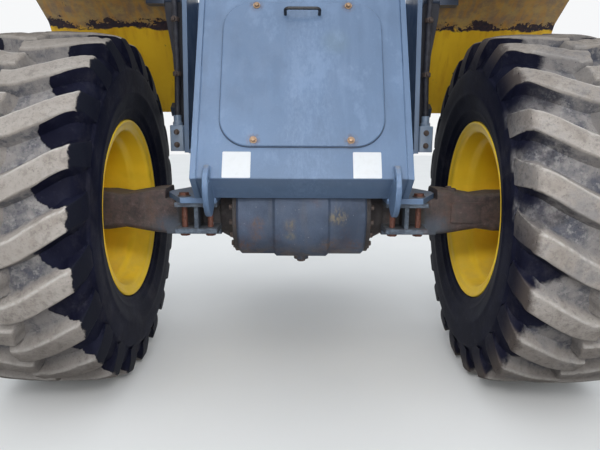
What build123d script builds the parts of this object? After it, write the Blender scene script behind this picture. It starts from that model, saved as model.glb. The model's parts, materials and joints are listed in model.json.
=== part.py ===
from build123d import *
import math
import os

# Front chassis of an articulated wheel loader: the front frame with its inspection cover,
# the drive axle bolted under it, two wheels that turn, the fenders and the boom hoses.
# X runs to the machine's left, Y to its rear, Z is up. Sizes below are in millimetres and
# measured from the middle of the axle. The model is moved to its own origin, the middle of
# the lower articulation bore, as it is written out.

# Articulation hinge at the rear end of the frame
HINGE_Y = 1300.0
HINGE_LOWER_Z = -80.0
HINGE_UPPER_Z = 480.0
HINGE_PLATE = 40.0
HINGE_BOSS_R = 105.0
HINGE_BOSS_H = 96.0
HINGE_BORE_R = 45.0
HINGE_TIP_HALF, HINGE_TIP_PAST = 102.0, 20.0
HINGE_TAPER_FROM_Y = 970.0
HINGE_ROOT_Y = 800.0

# Front frame: two side plates with a leaning front plate between them
FRAME_HALF = 396.5
SIDE_T = 20.0
SIDE_IN_X = FRAME_HALF - SIDE_T
LEAN_DEG = 25.1
FOLD_Y, FOLD_Z = -300.0, 153.0
LIP_Y, LIP_Z = -205.0, 71.0
FRONT_T = 16.0
FRONT_INSET = 7.0
LIP_EDGE = 14.0
FRAME_REAR_Y = 1010.0
FRAME_REAR_TOP_Z = 560.0
FRAME_BELLY_Z = -115.0
BELLY_FRONT_Y, BELLY_STEP_Y = 430.0, 300.0
FRONT_TOP_DROP = 150.0
TOWER_TOP_Z = 1165.0
TOWER_REAR_Y = 520.0
TOWER_HEEL_Y = TOWER_REAR_Y + 60.0
TOWER_WAIST_Z = 900.0
TOWER_CORNER_R = 120.0
BULKHEAD_Y = 560.0
BULKHEAD_T = 16.0
BULKHEAD_Z = (160.0, 800.0)

# Boom and lift-cylinder pivots in the towers
BOOM_PIN = (370.0, 1040.0)
BOOM_BORE_R = 35.0
LIFT_PIN = (330.0, 320.0)
LIFT_BORE_R = 30.0
PIN_BOSS_R = 72.0
PIN_BOSS_T = 14.0
BOOM_SLOT = 95.0
TOWER_T = 20.0
TOWER_FACE_X = FRAME_HALF + BOOM_SLOT + TOWER_T
TOWER_FOOT_Z = 216.0
TOWER_FOOT_Y = (195.0, 440.0)
TOWER_TOP_FRONT_Y = 265.0
TOWER_DROP = 20.0
TOWER_OUTER_CORNER_R = 90.0
GUSSET_T = 14.0
CROSS_TUBE_R = 60.0
CROSS_TUBE_WALL = 10.0

# Inspection cover on the front plate
COVER_W, COVER_H = 600.0, 592.0
COVER_T = 12.0
COVER_CORNER_R = 110.0
COVER_FOOT_Z = 261.0
COVER_EDGE = 2.0
HAND_HOLE_RIM = 60.0
HANDLE_SPAN = 130.0
HANDLE_R = 6.0
HANDLE_REACH = 38.0
HANDLE_DROP = 55.0
HANDLE_BEND_R = 14.0

# Tie-down ears welded to the front lip
EAR_X = SIDE_IN_X - 41.5
EAR_T = 20.0
EAR_TOP_Z = 222.0
EAR_TOP_R = 18.0
EAR_FRONT = ((-262.0, -14.0), (-330.0, 62.0), (-350.0, 150.0), (-330.0, 205.0))  # Y and Z up its front edge
EAR_HOLE = (-318.0, 150.0)
EAR_HOLE_R = 12.0

# Saddle plates that stand on the axle
SADDLE_T = 20.0
SADDLE_IN_X = SIDE_IN_X - 58.5
SADDLE_FRONT_X, SADDLE_TIP_X = FRAME_HALF + 55.5, FRAME_HALF + 136.5
SADDLE_HALF_Y = 205.0
SADDLE_TIP_Y = 30.0

# Drive axle
DRUM_R, DRUM_HALF, DRUM_EDGE = 183.0, 248.0, 8.0
BAND_R, BAND_HALF, BAND_SLOPE = 193.0, 100.0, 10.0
DRAIN_R, DRAIN_H = 30.0, 14.0
CARRIER_R, CARRIER_Y = 125.0, 205.0
FLANGE_R, FLANGE_T = 172.0, 16.0
NECK_R = 100.0
NECK_ROOT_R = 128.0
SEAT_IN_X, SEAT_OUT_X = SADDLE_IN_X, FRAME_HALF + 79.5
SEAT_HALF_Y = 195.0
SEAT_TOP_Z = LIP_Z - SADDLE_T
SEAT_FOOT_Z, SEAT_FOOT_T = -66.0, 19.0
SEAT_WEB_T, SEAT_WEB_INSET = 16.0, 8.0
ARM_HALF_Y = 82.0
ARM_ROOT_X = SADDLE_TIP_X + 3.0
ARM_CORNER_R = 22.0
ARM_SECTIONS = (  # X, half height
    (ARM_ROOT_X, 90.0), (ARM_ROOT_X + 49.0, 86.0), (700.0, 66.0), (770.0, 76.0), (862.0, 76.0),
)
BOLT_X = (SIDE_IN_X - 27.5, FRAME_HALF + 50.5)
BOLT_Y = (-152.0, 152.0)
BOLT_R, BOLT_PLAY = 11.0, 1.0
BOLT_HEAD_R, BOLT_HEAD_H = 19.0, 14.0
SPINDLE_R = 60.0
RUN_FIT = 0.05
PINION_Y = 420.0
PINION_FLANGE_R = 75.0
PINION_FLANGE_T = 16.0
PINION_PCD, PINION_HOLE_R, PINION_HOLES = 120.0, 6.0, 4
PINION_PROFILE = (  # radius, Y, from the differential to the back of the drive flange
    (CARRIER_R, CARRIER_Y), (CARRIER_R, CARRIER_Y + 18.0), (88.0, CARRIER_Y + 30.0), (62.0, PINION_Y - 60.0),
    (62.0, PINION_Y - 34.0), (34.0, PINION_Y - 34.0), (34.0, PINION_Y - PINION_FLANGE_T),
)

# Wheels
WHEEL_X = 918.0
HUB_CLEAR = 8.0
HUB_R, HUB_FLANGE_R = 158.0, 208.0
HUB_FACE_X = 1085.0
HUB_BACK_R, HUB_FLANGE_T = 190.0, 30.0
HUB_FACE_R, HUB_COVER = 110.0, 50.0
HUB_RIM_DEPTH, HUB_BEVEL_DEPTH, HUB_BEVEL = 30.0, 12.0, 14.0
DISC_X, DISC_T, DISC_R = 935.0, 20.0, 292.0
SEAT_GAP = 0.3
RIM_HALF, RIM_SEAT_X = 228.0, 216.0
RIM_PROFILE = (  # offset from the wheel's middle plane, radius of the tyre side
    (-RIM_HALF, 356.0), (-RIM_SEAT_X, 356.0), (-RIM_SEAT_X, 322.0), (-158.0, 316.0), (-133.0, 296.0),
    (133.0, 296.0), (158.0, 316.0), (RIM_SEAT_X, 322.0), (RIM_SEAT_X, 356.0), (RIM_HALF, 356.0),
)
RIM_WALL, RIM_LIP, RIM_CORNER = 10.0, 12.0, 8.0
TYRE_R, SHOULDER_R, GROOVE_R = 685.0, 664.0, 628.0
TYRE_HALF, WALL_R = 260.5, 500.0
SHOULDER_X = 238.0
CROWN_T, WALL_T = 78.0, 37.5
BEAD_R, BEAD_TOE_X, BEAD_TOE_R = 360.0, 166.0, 345.0
LUG_COUNT = 22
LUG_FOOT_R = 575.0
LUG_FOOT, LUG_SIDE, LUG_TIP = 43.0, 36.0, 31.0
LUG_TURN_X, LUG_KNEE_X = 230.0, 38.0
LUG_RUN = 115.0
LUG_LEAN = 30.0
LUG_PAST_MIDDLE = 16.0
LUG_SINK, LUG_HEEL = 4.0, 14.0
TREAD_TURN_DEG = (7.2, 12.4)  # right tyre, left tyre

# Fenders
FENDER_IN_X, FENDER_OUT_X = 622.0, 1195.0
FENDER_T = 5.0
FENDER_FOOT, FENDER_BACK = (750.0, 400.0), (500.0, 810.0)  # Y, Z of the outer face
FENDER_CROWN, FENDER_BROW, FENDER_LIP = (360.0, 900.0), (-180.0, 930.0), (-330.0, 850.0)
FENDER_LINE = (FENDER_FOOT, FENDER_BACK, FENDER_CROWN, FENDER_BROW, FENDER_LIP)
FENDER_BEND_R = 60.0
STAY_R = 20.0
STAY_PAD_R = 45.0
STAY_PAD_T = 12.0
STAY_BLOCK = 50.0
STAY_REACH = 55.0
STAYS = (  # X of the face it is welded to, the two ends of its fender panel, place along that panel
    (FRAME_HALF, FENDER_FOOT, FENDER_BACK, 30.0), (TOWER_FACE_X, FENDER_CROWN, FENDER_BROW, 46.0),
)

# Boom hoses
HOSE_R = 12.0
HOSE_POINTS = (  # distance out from the outer tower plate, Y and Z, from the upper fitting to the lower one
    (36.5, 262.0, 900.0), (31.5, 246.0, 742.0), (26.5, 228.0, 570.0), (29.5, 221.0, 410.0), (34.5, 224.0, 270.0),
)
FITTING_R = 19.0
FITTING_LENGTH = 46.0
FITTING_STUB_R = 15.0

# Steering-cylinder lugs
STEER_Y, STEER_Z = 900.0, 30.0
STEER_REACH = 75.0
STEER_T, STEER_GAP = 20.0, 50.0
STEER_EAR_R = 42.0
STEER_BORE_R = 20.0
STEER_PAD_T = 12.0
STEER_ROOT_HALF, STEER_TIP_HALF = 70.0, 20.0

ORIGIN = Pos(0, -HINGE_Y, -HINGE_LOWER_Z)


def front_line_y(z):
    """Y of the leaning front edge of the frame at height z."""
    return FOLD_Y + (z - FOLD_Z) * math.tan(math.radians(LEAN_DEG))


def plate_yz(points, x_low, thickness, corner_r=0.0, rounded=()):
    """Upright plate: an outline in Y and Z, drawn out along X from x_low."""
    face = make_face(Polyline(*points, close=True))
    if rounded:
        picked = [v for v in face.vertices() if any(
            abs(v.X - points[i][0]) < 1 and abs(v.Y - points[i][1]) < 1 for i in rounded)]
        face = fillet(picked, corner_r)
    return extrude(Plane.YZ.offset(x_low) * face, thickness)


def plate_xy(points, z_low, thickness):
    """Level plate: an outline in X and Y, drawn up from z_low."""
    return extrude(Plane.XY.offset(z_low) * make_face(Polyline(*points, close=True)), thickness)


def rod_x(y, z, radius, x_low, x_high):
    """Round bar along X."""
    return extrude(Plane.YZ.offset(x_low) * Pos(y, z) * Circle(radius), x_high - x_low)


def rod_z(x, y, radius, z_low, z_high):
    """Round bar along Z."""
    return extrude(Plane.XY.offset(z_low) * Pos(x, y) * Circle(radius), z_high - z_low)


def turned_x(profile):
    """Solid of revolution about the axle's line from points of X and radius."""
    return revolve(Plane.XY * make_face(Polyline(*profile, close=True)), Axis.X, 360)


def side_plate():
    """Right side plate, whose tower carries the boom and the lift cylinder."""
    outline = (
        (LIP_Y, LIP_Z), (FOLD_Y, FOLD_Z), (front_line_y(TOWER_TOP_Z), TOWER_TOP_Z),
        (TOWER_REAR_Y, TOWER_TOP_Z), (TOWER_HEEL_Y, TOWER_WAIST_Z), (FRAME_REAR_Y, FRAME_REAR_TOP_Z),
        (FRAME_REAR_Y, FRAME_BELLY_Z), (BELLY_FRONT_Y, FRAME_BELLY_Z), (BELLY_STEP_Y, LIP_Z),
    )
    plate = plate_yz(outline, -FRAME_HALF, SIDE_T, TOWER_CORNER_R, (2, 3))
    for (y, z), r in ((BOOM_PIN, BOOM_BORE_R), (LIFT_PIN, LIFT_BORE_R)):
        plate -= rod_x(y, z, r, -FRAME_HALF - 1, -FRAME_HALF + SIDE_T + 1)
    return plate


def outer_tower():
    """Right outer tower plate with a boss round each bore on its outer face."""
    x_out = -TOWER_FACE_X
    x_in = x_out + TOWER_T
    top_z = TOWER_TOP_Z - TOWER_DROP
    outline = (
        (TOWER_FOOT_Y[0], TOWER_FOOT_Z), (TOWER_TOP_FRONT_Y, top_z), (TOWER_REAR_Y - TOWER_DROP, top_z),
        (TOWER_REAR_Y, TOWER_WAIST_Z), (TOWER_FOOT_Y[1], TOWER_FOOT_Z),
    )
    plate = plate_yz(outline, x_out, TOWER_T, TOWER_OUTER_CORNER_R, (1, 2))
    for (y, z), r in ((BOOM_PIN, BOOM_BORE_R), (LIFT_PIN, LIFT_BORE_R)):
        plate += rod_x(y, z, PIN_BOSS_R, x_out - PIN_BOSS_T, x_out)
        plate -= rod_x(y, z, r, x_out - PIN_BOSS_T - 1, x_in + 1)
    return plate


def tower_gusset():
    """Bent plate that closes the right boom slot below and behind."""
    x_low = -FRAME_HALF - BOOM_SLOT
    front_y, rear_y = TOWER_FOOT_Y
    floor_z = TOWER_FOOT_Z + GUSSET_T
    outline = (
        (front_y, TOWER_FOOT_Z), (front_y, floor_z), (rear_y - GUSSET_T, floor_z),
        (TOWER_REAR_Y - GUSSET_T, TOWER_WAIST_Z), (TOWER_REAR_Y, TOWER_WAIST_Z), (rear_y, TOWER_FOOT_Z),
    )
    return plate_yz(outline, x_low, BOOM_SLOT)


def front_plate():
    """Leaning front plate with its lip bent back under it, and the hand hole that the cover closes."""
    lean = math.radians(LEAN_DEG)
    inset_y = FRONT_INSET / math.cos(lean)
    wall_y = FRONT_T / math.cos(lean)
    top_z = TOWER_TOP_Z - FRONT_TOP_DROP
    front = [(LIP_Y + inset_y, LIP_Z), (FOLD_Y + inset_y, FOLD_Z), (front_line_y(top_z) + inset_y, top_z)]
    back = [(y + wall_y, z) for y, z in reversed(front)]
    back[-1] = (LIP_Y + inset_y + LIP_EDGE, LIP_Z)
    hole = cover_plane() * Pos(0, COVER_H / 2) * RectangleRounded(
        COVER_W - 2 * HAND_HOLE_RIM, COVER_H - 2 * HAND_HOLE_RIM, COVER_CORNER_R - HAND_HOLE_RIM)
    return plate_yz(front + back, -SIDE_IN_X, 2 * SIDE_IN_X) - extrude(hole, FRONT_T, both=True)


def cover_plane():
    """Plane on the front plate's face, at the middle of the cover's foot, normal to the front."""
    lean = math.radians(LEAN_DEG)
    y = front_line_y(COVER_FOOT_Z) + FRONT_INSET / math.cos(lean)
    return Plane(origin=(0, y, COVER_FOOT_Z), x_dir=(1, 0, 0),
                 z_dir=(0, -math.cos(lean), math.sin(lean)))


def inspection_cover():
    """Rounded cover plate bolted over the frame's hand opening."""
    plane = cover_plane()
    face = plane * Pos(0, COVER_H / 2) * RectangleRounded(COVER_W, COVER_H, COVER_CORNER_R)
    cover = extrude(face, COVER_T)
    return chamfer(cover.faces().sort_by(Axis((0, 0, 0), tuple(plane.z_dir)))[-1].edges(), COVER_EDGE)


def cover_handle():
    """Round-bar handle on the cover."""
    base = cover_plane().offset(COVER_T)
    half = HANDLE_SPAN / 2
    path = base * Pos(0, COVER_H - HANDLE_DROP) * Rot(90, 0, 0) * FilletPolyline(
        (-half, 0), (-half, HANDLE_REACH), (half, HANDLE_REACH), (half, 0), radius=HANDLE_BEND_R)
    return sweep(Plane(path @ 0, z_dir=path % 0) * Circle(HANDLE_R), path)


def tie_down_ear():
    """Right ear plate welded across the lip, with a lashing hole."""
    inset_y = FRONT_INSET / math.cos(math.radians(LEAN_DEG))
    outline = EAR_FRONT + (
        (front_line_y(EAR_TOP_Z) + inset_y, EAR_TOP_Z), (FOLD_Y + inset_y, FOLD_Z), (LIP_Y + inset_y, LIP_Z),
        (LIP_Y, LIP_Z), (LIP_Y, 0.0),
    )
    ear = plate_yz(outline, -EAR_X - EAR_T / 2, EAR_T, EAR_TOP_R, (3,))
    return ear - rod_x(*EAR_HOLE, EAR_HOLE_R, -EAR_X - EAR_T, -EAR_X + EAR_T)


def saddle():
    """Right saddle plate under the side plate, chamfered outboard, that seats on the axle."""
    outline = (
        (-SADDLE_IN_X, -SADDLE_HALF_Y), (-SADDLE_FRONT_X, -SADDLE_HALF_Y), (-SADDLE_TIP_X, -SADDLE_TIP_Y),
        (-SADDLE_TIP_X, SADDLE_TIP_Y), (-SADDLE_FRONT_X, SADDLE_HALF_Y), (-SADDLE_IN_X, SADDLE_HALF_Y),
    )
    plate = plate_xy(outline, SEAT_TOP_Z, SADDLE_T)
    for x in BOLT_X:
        for y in BOLT_Y:
            plate -= rod_z(-x, y, BOLT_R + BOLT_PLAY, SEAT_TOP_Z - 1, LIP_Z + 1)
    return plate


def axle_centre():
    """Differential housing: a drum with a wider middle band and a drain boss."""
    drum = turned_x((
        (-DRUM_HALF, 0), (-DRUM_HALF, DRUM_R - DRUM_EDGE), (-DRUM_HALF + DRUM_EDGE, DRUM_R),
        (-BAND_HALF - BAND_SLOPE, DRUM_R), (-BAND_HALF, BAND_R), (BAND_HALF, BAND_R),
        (BAND_HALF + BAND_SLOPE, DRUM_R), (DRUM_HALF - DRUM_EDGE, DRUM_R), (DRUM_HALF, DRUM_R - DRUM_EDGE),
        (DRUM_HALF, 0),
    ))
    drum += rod_z(0, 0, DRAIN_R, -BAND_R - DRAIN_H, 0)
    return drum + extrude(Plane.XZ * Circle(CARRIER_R), -CARRIER_Y)


def pinion_carrier():
    """Pinion housing behind the differential, ending in the drive-shaft flange."""
    flange = ((PINION_FLANGE_R, PINION_Y - PINION_FLANGE_T), (PINION_FLANGE_R, PINION_Y), (0, PINION_Y))
    face = make_face(Polyline((0, CARRIER_Y), *PINION_PROFILE, *flange, close=True))
    carrier = revolve(Plane.XY * face, Axis.Y, 360)
    for k in range(PINION_HOLES):
        a = math.radians(45 + 360 / PINION_HOLES * k)
        hole = Pos(PINION_PCD / 2 * math.cos(a), PINION_Y, PINION_PCD / 2 * math.sin(a))
        carrier -= hole * Rot(-90, 0, 0) * Cylinder(PINION_HOLE_R, 2 * PINION_FLANGE_T + 2)
    return carrier


def axle_arm():
    """Right axle arm casting: flange, neck, seat with its webs, box arm and spindle."""
    arm = turned_x((
        (-DRUM_HALF, 0), (-DRUM_HALF, FLANGE_R), (-DRUM_HALF - FLANGE_T, FLANGE_R),
        (-DRUM_HALF - FLANGE_T, NECK_ROOT_R), (-SEAT_IN_X, NECK_R), (-SEAT_IN_X, 0),
    ))
    core_z = SEAT_FOOT_Z + SEAT_FOOT_T
    root_x, root_z = ARM_SECTIONS[0]
    arm += Box(root_x - SEAT_IN_X, 2 * ARM_HALF_Y, SEAT_TOP_Z + root_z).moved(
        Pos(-(SEAT_IN_X + root_x) / 2, 0, (SEAT_TOP_Z - root_z) / 2))
    for z_low, thick in ((SEAT_FOOT_Z, SEAT_FOOT_T), (SEAT_TOP_Z - SEAT_WEB_T, SEAT_WEB_T)):
        flange = Box(SEAT_OUT_X - SEAT_IN_X, 2 * SEAT_HALF_Y, thick)
        arm += flange.moved(Pos(-(SEAT_IN_X + SEAT_OUT_X) / 2, 0, z_low + thick / 2))
    web = Box(SEAT_WEB_T, 2 * (SEAT_HALF_Y - SEAT_WEB_INSET), SEAT_TOP_Z - core_z)
    arm += web.moved(Pos(-(SEAT_IN_X + SEAT_OUT_X) / 2, 0, (SEAT_TOP_Z + core_z) / 2))
    sections = [
        Plane.YZ.offset(-x) * RectangleRounded(2 * ARM_HALF_Y, 2 * half, ARM_CORNER_R) for x, half in ARM_SECTIONS
    ]
    arm += loft(sections, ruled=True)
    arm += rod_x(0, 0, SPINDLE_R, -(HUB_FACE_X - 60), -ARM_SECTIONS[-1][0])
    for x in BOLT_X:
        for y in BOLT_Y:
            arm -= rod_z(-x, y, BOLT_R + BOLT_PLAY, SEAT_FOOT_Z - 1, SEAT_TOP_Z + 1)
    return arm


def seat_bolts():
    """The long bolts that clamp the right saddle to the axle seat, heads below and nuts above."""
    bolts = []
    for x in BOLT_X:
        for y in BOLT_Y:
            shank = rod_z(-x, y, BOLT_R, SEAT_FOOT_Z, LIP_Z)
            head = extrude(Plane.XY.offset(SEAT_FOOT_Z) * Pos(-x, y) * RegularPolygon(BOLT_HEAD_R, 6),
                           -BOLT_HEAD_H)
            nut = extrude(Plane.XY.offset(LIP_Z) * Pos(-x, y) * RegularPolygon(BOLT_HEAD_R, 6), BOLT_HEAD_H)
            bolts.append(shank + head + nut)
    return Compound(children=[b.solid() for b in bolts])


def hinge_plate(z_mid):
    """Tapering articulation plate with a bearing boss at its end."""
    half = SIDE_IN_X
    z_low = z_mid - HINGE_PLATE / 2
    outline = (
        (-half, HINGE_ROOT_Y), (half, HINGE_ROOT_Y), (half, HINGE_TAPER_FROM_Y),
        (HINGE_TIP_HALF, HINGE_Y + HINGE_TIP_PAST), (-HINGE_TIP_HALF, HINGE_Y + HINGE_TIP_PAST),
        (-half, HINGE_TAPER_FROM_Y),
    )
    plate = plate_xy(outline, z_low, HINGE_PLATE)
    plate += rod_z(0, HINGE_Y, HINGE_BOSS_R, z_mid - HINGE_BOSS_H / 2, z_mid + HINGE_BOSS_H / 2)
    return plate - rod_z(0, HINGE_Y, HINGE_BORE_R, z_mid - HINGE_BOSS_H, z_mid + HINGE_BOSS_H)


def bulkhead():
    """Cross wall between the side plates, above the pinion, with the hinge plates behind it."""
    low_z, top_z = BULKHEAD_Z
    face = Plane.XZ.offset(-BULKHEAD_Y) * Pos(0, (low_z + top_z) / 2) * Rectangle(2 * SIDE_IN_X, top_z - low_z)
    return extrude(face, BULKHEAD_T)


def cross_tube():
    """Tube between the side plates on the boom pivot's line."""
    tube = rod_x(*BOOM_PIN, CROSS_TUBE_R, -SIDE_IN_X, SIDE_IN_X)
    return tube - rod_x(*BOOM_PIN, CROSS_TUBE_R - CROSS_TUBE_WALL, -SIDE_IN_X, SIDE_IN_X)


def rim():
    """Right rim: a stepped barrel with flanges, and the disc that bolts to the hub."""
    flange_r = RIM_PROFILE[0][1] - RIM_LIP
    inside = [(-RIM_HALF, flange_r)]
    for x, r in RIM_PROFILE[2:-2]:
        wall_x = math.copysign(RIM_CORNER, x) if abs(x) == RIM_SEAT_X else 0.0
        inside.append((x + wall_x, r - RIM_WALL))
    inside.append((RIM_HALF, flange_r))
    profile = [(-WHEEL_X - x, r) for x, r in list(RIM_PROFILE) + list(reversed(inside))]
    bore = HUB_R + SEAT_GAP
    disc = [(-DISC_X, bore), (-DISC_X, DISC_R), (-DISC_X - DISC_T, DISC_R), (-DISC_X - DISC_T, bore)]
    return turned_x(profile) + turned_x(disc)


def hub():
    """Right planetary hub, with the flange that carries the rim's disc."""
    inner_x = ARM_SECTIONS[-1][0] + HUB_CLEAR
    bore = SPINDLE_R + RUN_FIT
    return turned_x((
        (-inner_x, bore), (-inner_x, HUB_BACK_R), (-DISC_X + HUB_FLANGE_T, HUB_FLANGE_R),
        (-DISC_X, HUB_FLANGE_R), (-DISC_X, HUB_R), (-HUB_FACE_X + HUB_RIM_DEPTH, HUB_R),
        (-HUB_FACE_X + HUB_BEVEL_DEPTH, HUB_R - HUB_BEVEL), (-HUB_FACE_X, HUB_FACE_R),
        (-HUB_FACE_X, 0), (-HUB_FACE_X + HUB_COVER, 0), (-HUB_FACE_X + HUB_COVER, bore),
    ))


def flat_ring(half_profile, turn=0.0):
    """Solid about X with as many flat sides as lugs in a row, from its left half's points of X and radius."""
    profile = [(-x, r) for x, r in half_profile] + [(x, r) for x, r in reversed(half_profile)]
    sections = [Plane.YZ.offset(x) * Rot(0, 0, turn) * RegularPolygon(r, LUG_COUNT, major_radius=False)
                for x, r in profile]
    return loft(sections, ruled=True)


def tyre_carcass():
    """Tyre's casing about X, closed on the rim's bead seats, with the grooves' floor as its crown."""
    (seat_x, seat_r), (ledge_x, ledge_r) = RIM_PROFILE[7], RIM_PROFILE[6]
    toe_r = ledge_r + (BEAD_TOE_X - ledge_x) * (seat_r - ledge_r) / (seat_x - ledge_x)
    bead_x = seat_x - SEAT_GAP
    casing = flat_ring(((bead_x, BEAD_R), (TYRE_HALF, WALL_R), (SHOULDER_X, GROOVE_R)))
    casing -= flat_ring(((bead_x, seat_r + SEAT_GAP), (BEAD_TOE_X, toe_r + SEAT_GAP)))
    return casing - flat_ring(((BEAD_TOE_X, BEAD_TOE_R), (TYRE_HALF - WALL_T, GROOVE_R - CROWN_T)))


def lug_envelope():
    """Flat-sided ring whose corners reach the lugs' tips, and which turns down at the shoulder to their feet."""
    half_pitch = 180 / LUG_COUNT
    to_flat = math.cos(math.radians(half_pitch))
    corners = ((TYRE_HALF - LUG_SINK, LUG_FOOT_R), (SHOULDER_X, SHOULDER_R), (LUG_PAST_MIDDLE, TYRE_R))
    return flat_ring([(x, r * to_flat) for x, r in corners], half_pitch)


def tread_lug():
    """One lug of the left half at the top of the tyre, slanting from its foot on the sidewall to its knee."""
    outline = (
        (TYRE_HALF, -LUG_LEAN - LUG_FOOT), (TYRE_HALF, -LUG_LEAN + LUG_FOOT), (LUG_TURN_X, LUG_SIDE),
        (LUG_KNEE_X, LUG_RUN + LUG_TIP), (-LUG_PAST_MIDDLE, LUG_RUN + LUG_TIP),
        (-LUG_PAST_MIDDLE, LUG_RUN - LUG_TIP), (LUG_TURN_X - LUG_HEEL, -LUG_SIDE),
    )
    centred = [(x, LUG_RUN / 2 - y) for x, y in outline]
    face = Plane.XY.offset(LUG_FOOT_R) * make_face(Polyline(*centred, close=True))
    return extrude(face, TYRE_R) & lug_envelope()


def tyre(turn_deg):
    """Right tyre with its two rows of lugs fused to the casing, standing turned as in the photo."""
    lug = tread_lug()
    other = mirror(lug, Plane.YZ)
    pitch = 360 / LUG_COUNT
    lugs = [Rot(pitch * k, 0, 0) * lug for k in range(LUG_COUNT)]
    lugs += [Rot(pitch * (k + 0.5), 0, 0) * other for k in range(LUG_COUNT)]
    return Pos(-WHEEL_X, 0, 0) * Rot(turn_deg, 0, 0) * (tyre_carcass() + lugs)


def fender():
    """Right fender: a bent sheet over and behind the tyre."""
    sheet = trace(FilletPolyline(*FENDER_LINE, radius=FENDER_BEND_R), FENDER_T)
    return extrude(Plane.YZ.offset(-FENDER_OUT_X) * sheet, FENDER_OUT_X - FENDER_IN_X)


def fender_stays():
    """Right stays: bars from the frame and tower out to clamp blocks under the fender's sheet."""
    stays = []
    for root_x, (y0, z0), (y1, z1), along in STAYS:
        run = math.hypot(y1 - y0, z1 - z0)
        dy, dz = (y1 - y0) / run, (z1 - z0) / run
        depth = FENDER_T / 2 + STAY_BLOCK / 2
        y, z = y0 + dy * along - dz * depth, z0 + dz * along + dy * depth
        block_plane = Plane(origin=(-FENDER_IN_X - STAY_REACH, y, z), x_dir=(0, dy, dz), z_dir=(1, 0, 0))
        bar = rod_x(y, z, STAY_R, -FENDER_IN_X - STAY_REACH, -root_x - STAY_PAD_T)
        bar += rod_x(y, z, STAY_PAD_R, -root_x - STAY_PAD_T, -root_x)
        bar += extrude(block_plane * Rectangle(STAY_BLOCK, STAY_BLOCK), STAY_REACH + STAY_BLOCK / 2)
        stays.append(bar.solid())
    return Compound(children=stays)


def hose_path():
    """The right hose's middle line, each corner rounded as widely as its two runs allow."""
    points = [(-TOWER_FACE_X - out, y, z) for out, y, z in HOSE_POINTS]
    spots = [Vector(*p) for p in points]
    radii = []
    for before, here, after in zip(spots, spots[1:], spots[2:]):
        shorter = min((here - before).length, (after - here).length)
        turn = math.radians((here - before).get_angle(after - here))
        radii.append(0.45 * shorter / math.tan(turn / 2))
    return FilletPolyline(*points, radius=radii)


def hose():
    """Right boom hose down the outer tower plate, between its two fittings."""
    path = hose_path()
    return sweep(Plane(path @ 0, z_dir=path % 0) * Circle(HOSE_R), path)


def hose_fittings():
    """Fittings at the right hose's ends, each on a stub from the outer tower plate."""
    path = hose_path()
    fittings = []
    for point, way in ((path @ 0, path % 0 * -1), (path @ 1, path % 1)):
        body = extrude(Plane(point, z_dir=way) * Circle(FITTING_R), FITTING_LENGTH)
        middle = point + way * (FITTING_LENGTH / 2)
        body += rod_x(middle.Y, middle.Z, FITTING_STUB_R, middle.X, -TOWER_FACE_X)
        fittings.append(body.solid())
    return Compound(children=fittings)


def steering_lug():
    """Right steering-cylinder clevis on the outside of the side plate."""
    out_x = FRAME_HALF + STEER_REACH
    lug = None
    for z_low in (STEER_Z, STEER_Z + STEER_GAP + STEER_T):
        outline = ((-FRAME_HALF, STEER_Y - STEER_ROOT_HALF), (-FRAME_HALF, STEER_Y + STEER_ROOT_HALF),
                   (-out_x, STEER_Y + STEER_TIP_HALF), (-out_x, STEER_Y - STEER_TIP_HALF))
        ear = plate_xy(outline, z_low, STEER_T) + rod_z(-out_x, STEER_Y, STEER_EAR_R, z_low, z_low + STEER_T)
        lug = ear if lug is None else lug + ear
    back = Box(STEER_PAD_T, 2 * STEER_ROOT_HALF, 2 * STEER_T + STEER_GAP)
    lug += back.moved(Pos(-FRAME_HALF - STEER_PAD_T / 2, STEER_Y, STEER_Z + STEER_T + STEER_GAP / 2))
    return lug - rod_z(-out_x, STEER_Y, STEER_BORE_R, STEER_Z - 1, STEER_Z + 2 * STEER_T + STEER_GAP + 1)


def both_sides(name, right):
    """A right-hand piece, at negative X, and its mirror image, under the names of the machine's sides."""
    return {name + "_right": right, name + "_left": mirror(right, Plane.YZ)}


def all_pieces():
    """Every node of the front chassis by its name, in axle coordinates."""
    pieces = {}
    for name, right in (
        ("side_plate", side_plate()), ("outer_tower", outer_tower()), ("tower_gusset", tower_gusset()),
        ("tie_down_ear", tie_down_ear()), ("saddle", saddle()), ("axle_arm", axle_arm()), ("seat_bolts", seat_bolts()),
        ("rim", rim()), ("hub", hub()), ("fender", fender()), ("fender_stays", fender_stays()),
        ("hose", hose()), ("hose_fittings", hose_fittings()), ("steering_lug", steering_lug()),
    ):
        pieces.update(both_sides(name, right))
    right_turn, left_turn = TREAD_TURN_DEG
    pieces["tyre_right"] = tyre(right_turn)
    pieces["tyre_left"] = mirror(tyre(left_turn), Plane.YZ)
    pieces["front_plate"] = front_plate()
    pieces["inspection_cover"] = inspection_cover()
    pieces["cover_handle"] = cover_handle()
    pieces["axle_centre"] = axle_centre()
    pieces["pinion_carrier"] = pinion_carrier()
    pieces["hinge_plate_lower"] = hinge_plate(HINGE_LOWER_Z)
    pieces["hinge_plate_upper"] = hinge_plate(HINGE_UPPER_Z)
    pieces["bulkhead"] = bulkhead()
    pieces["cross_tube"] = cross_tube()
    return pieces


def main():
    os.makedirs("parts", exist_ok=True)
    for name, piece in all_pieces().items():
        export_step(ORIGIN * piece, "parts/" + name + ".step")


main()
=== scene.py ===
import bisect
import json
import math

import bpy
from mathutils import Matrix, Vector, noise


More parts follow.
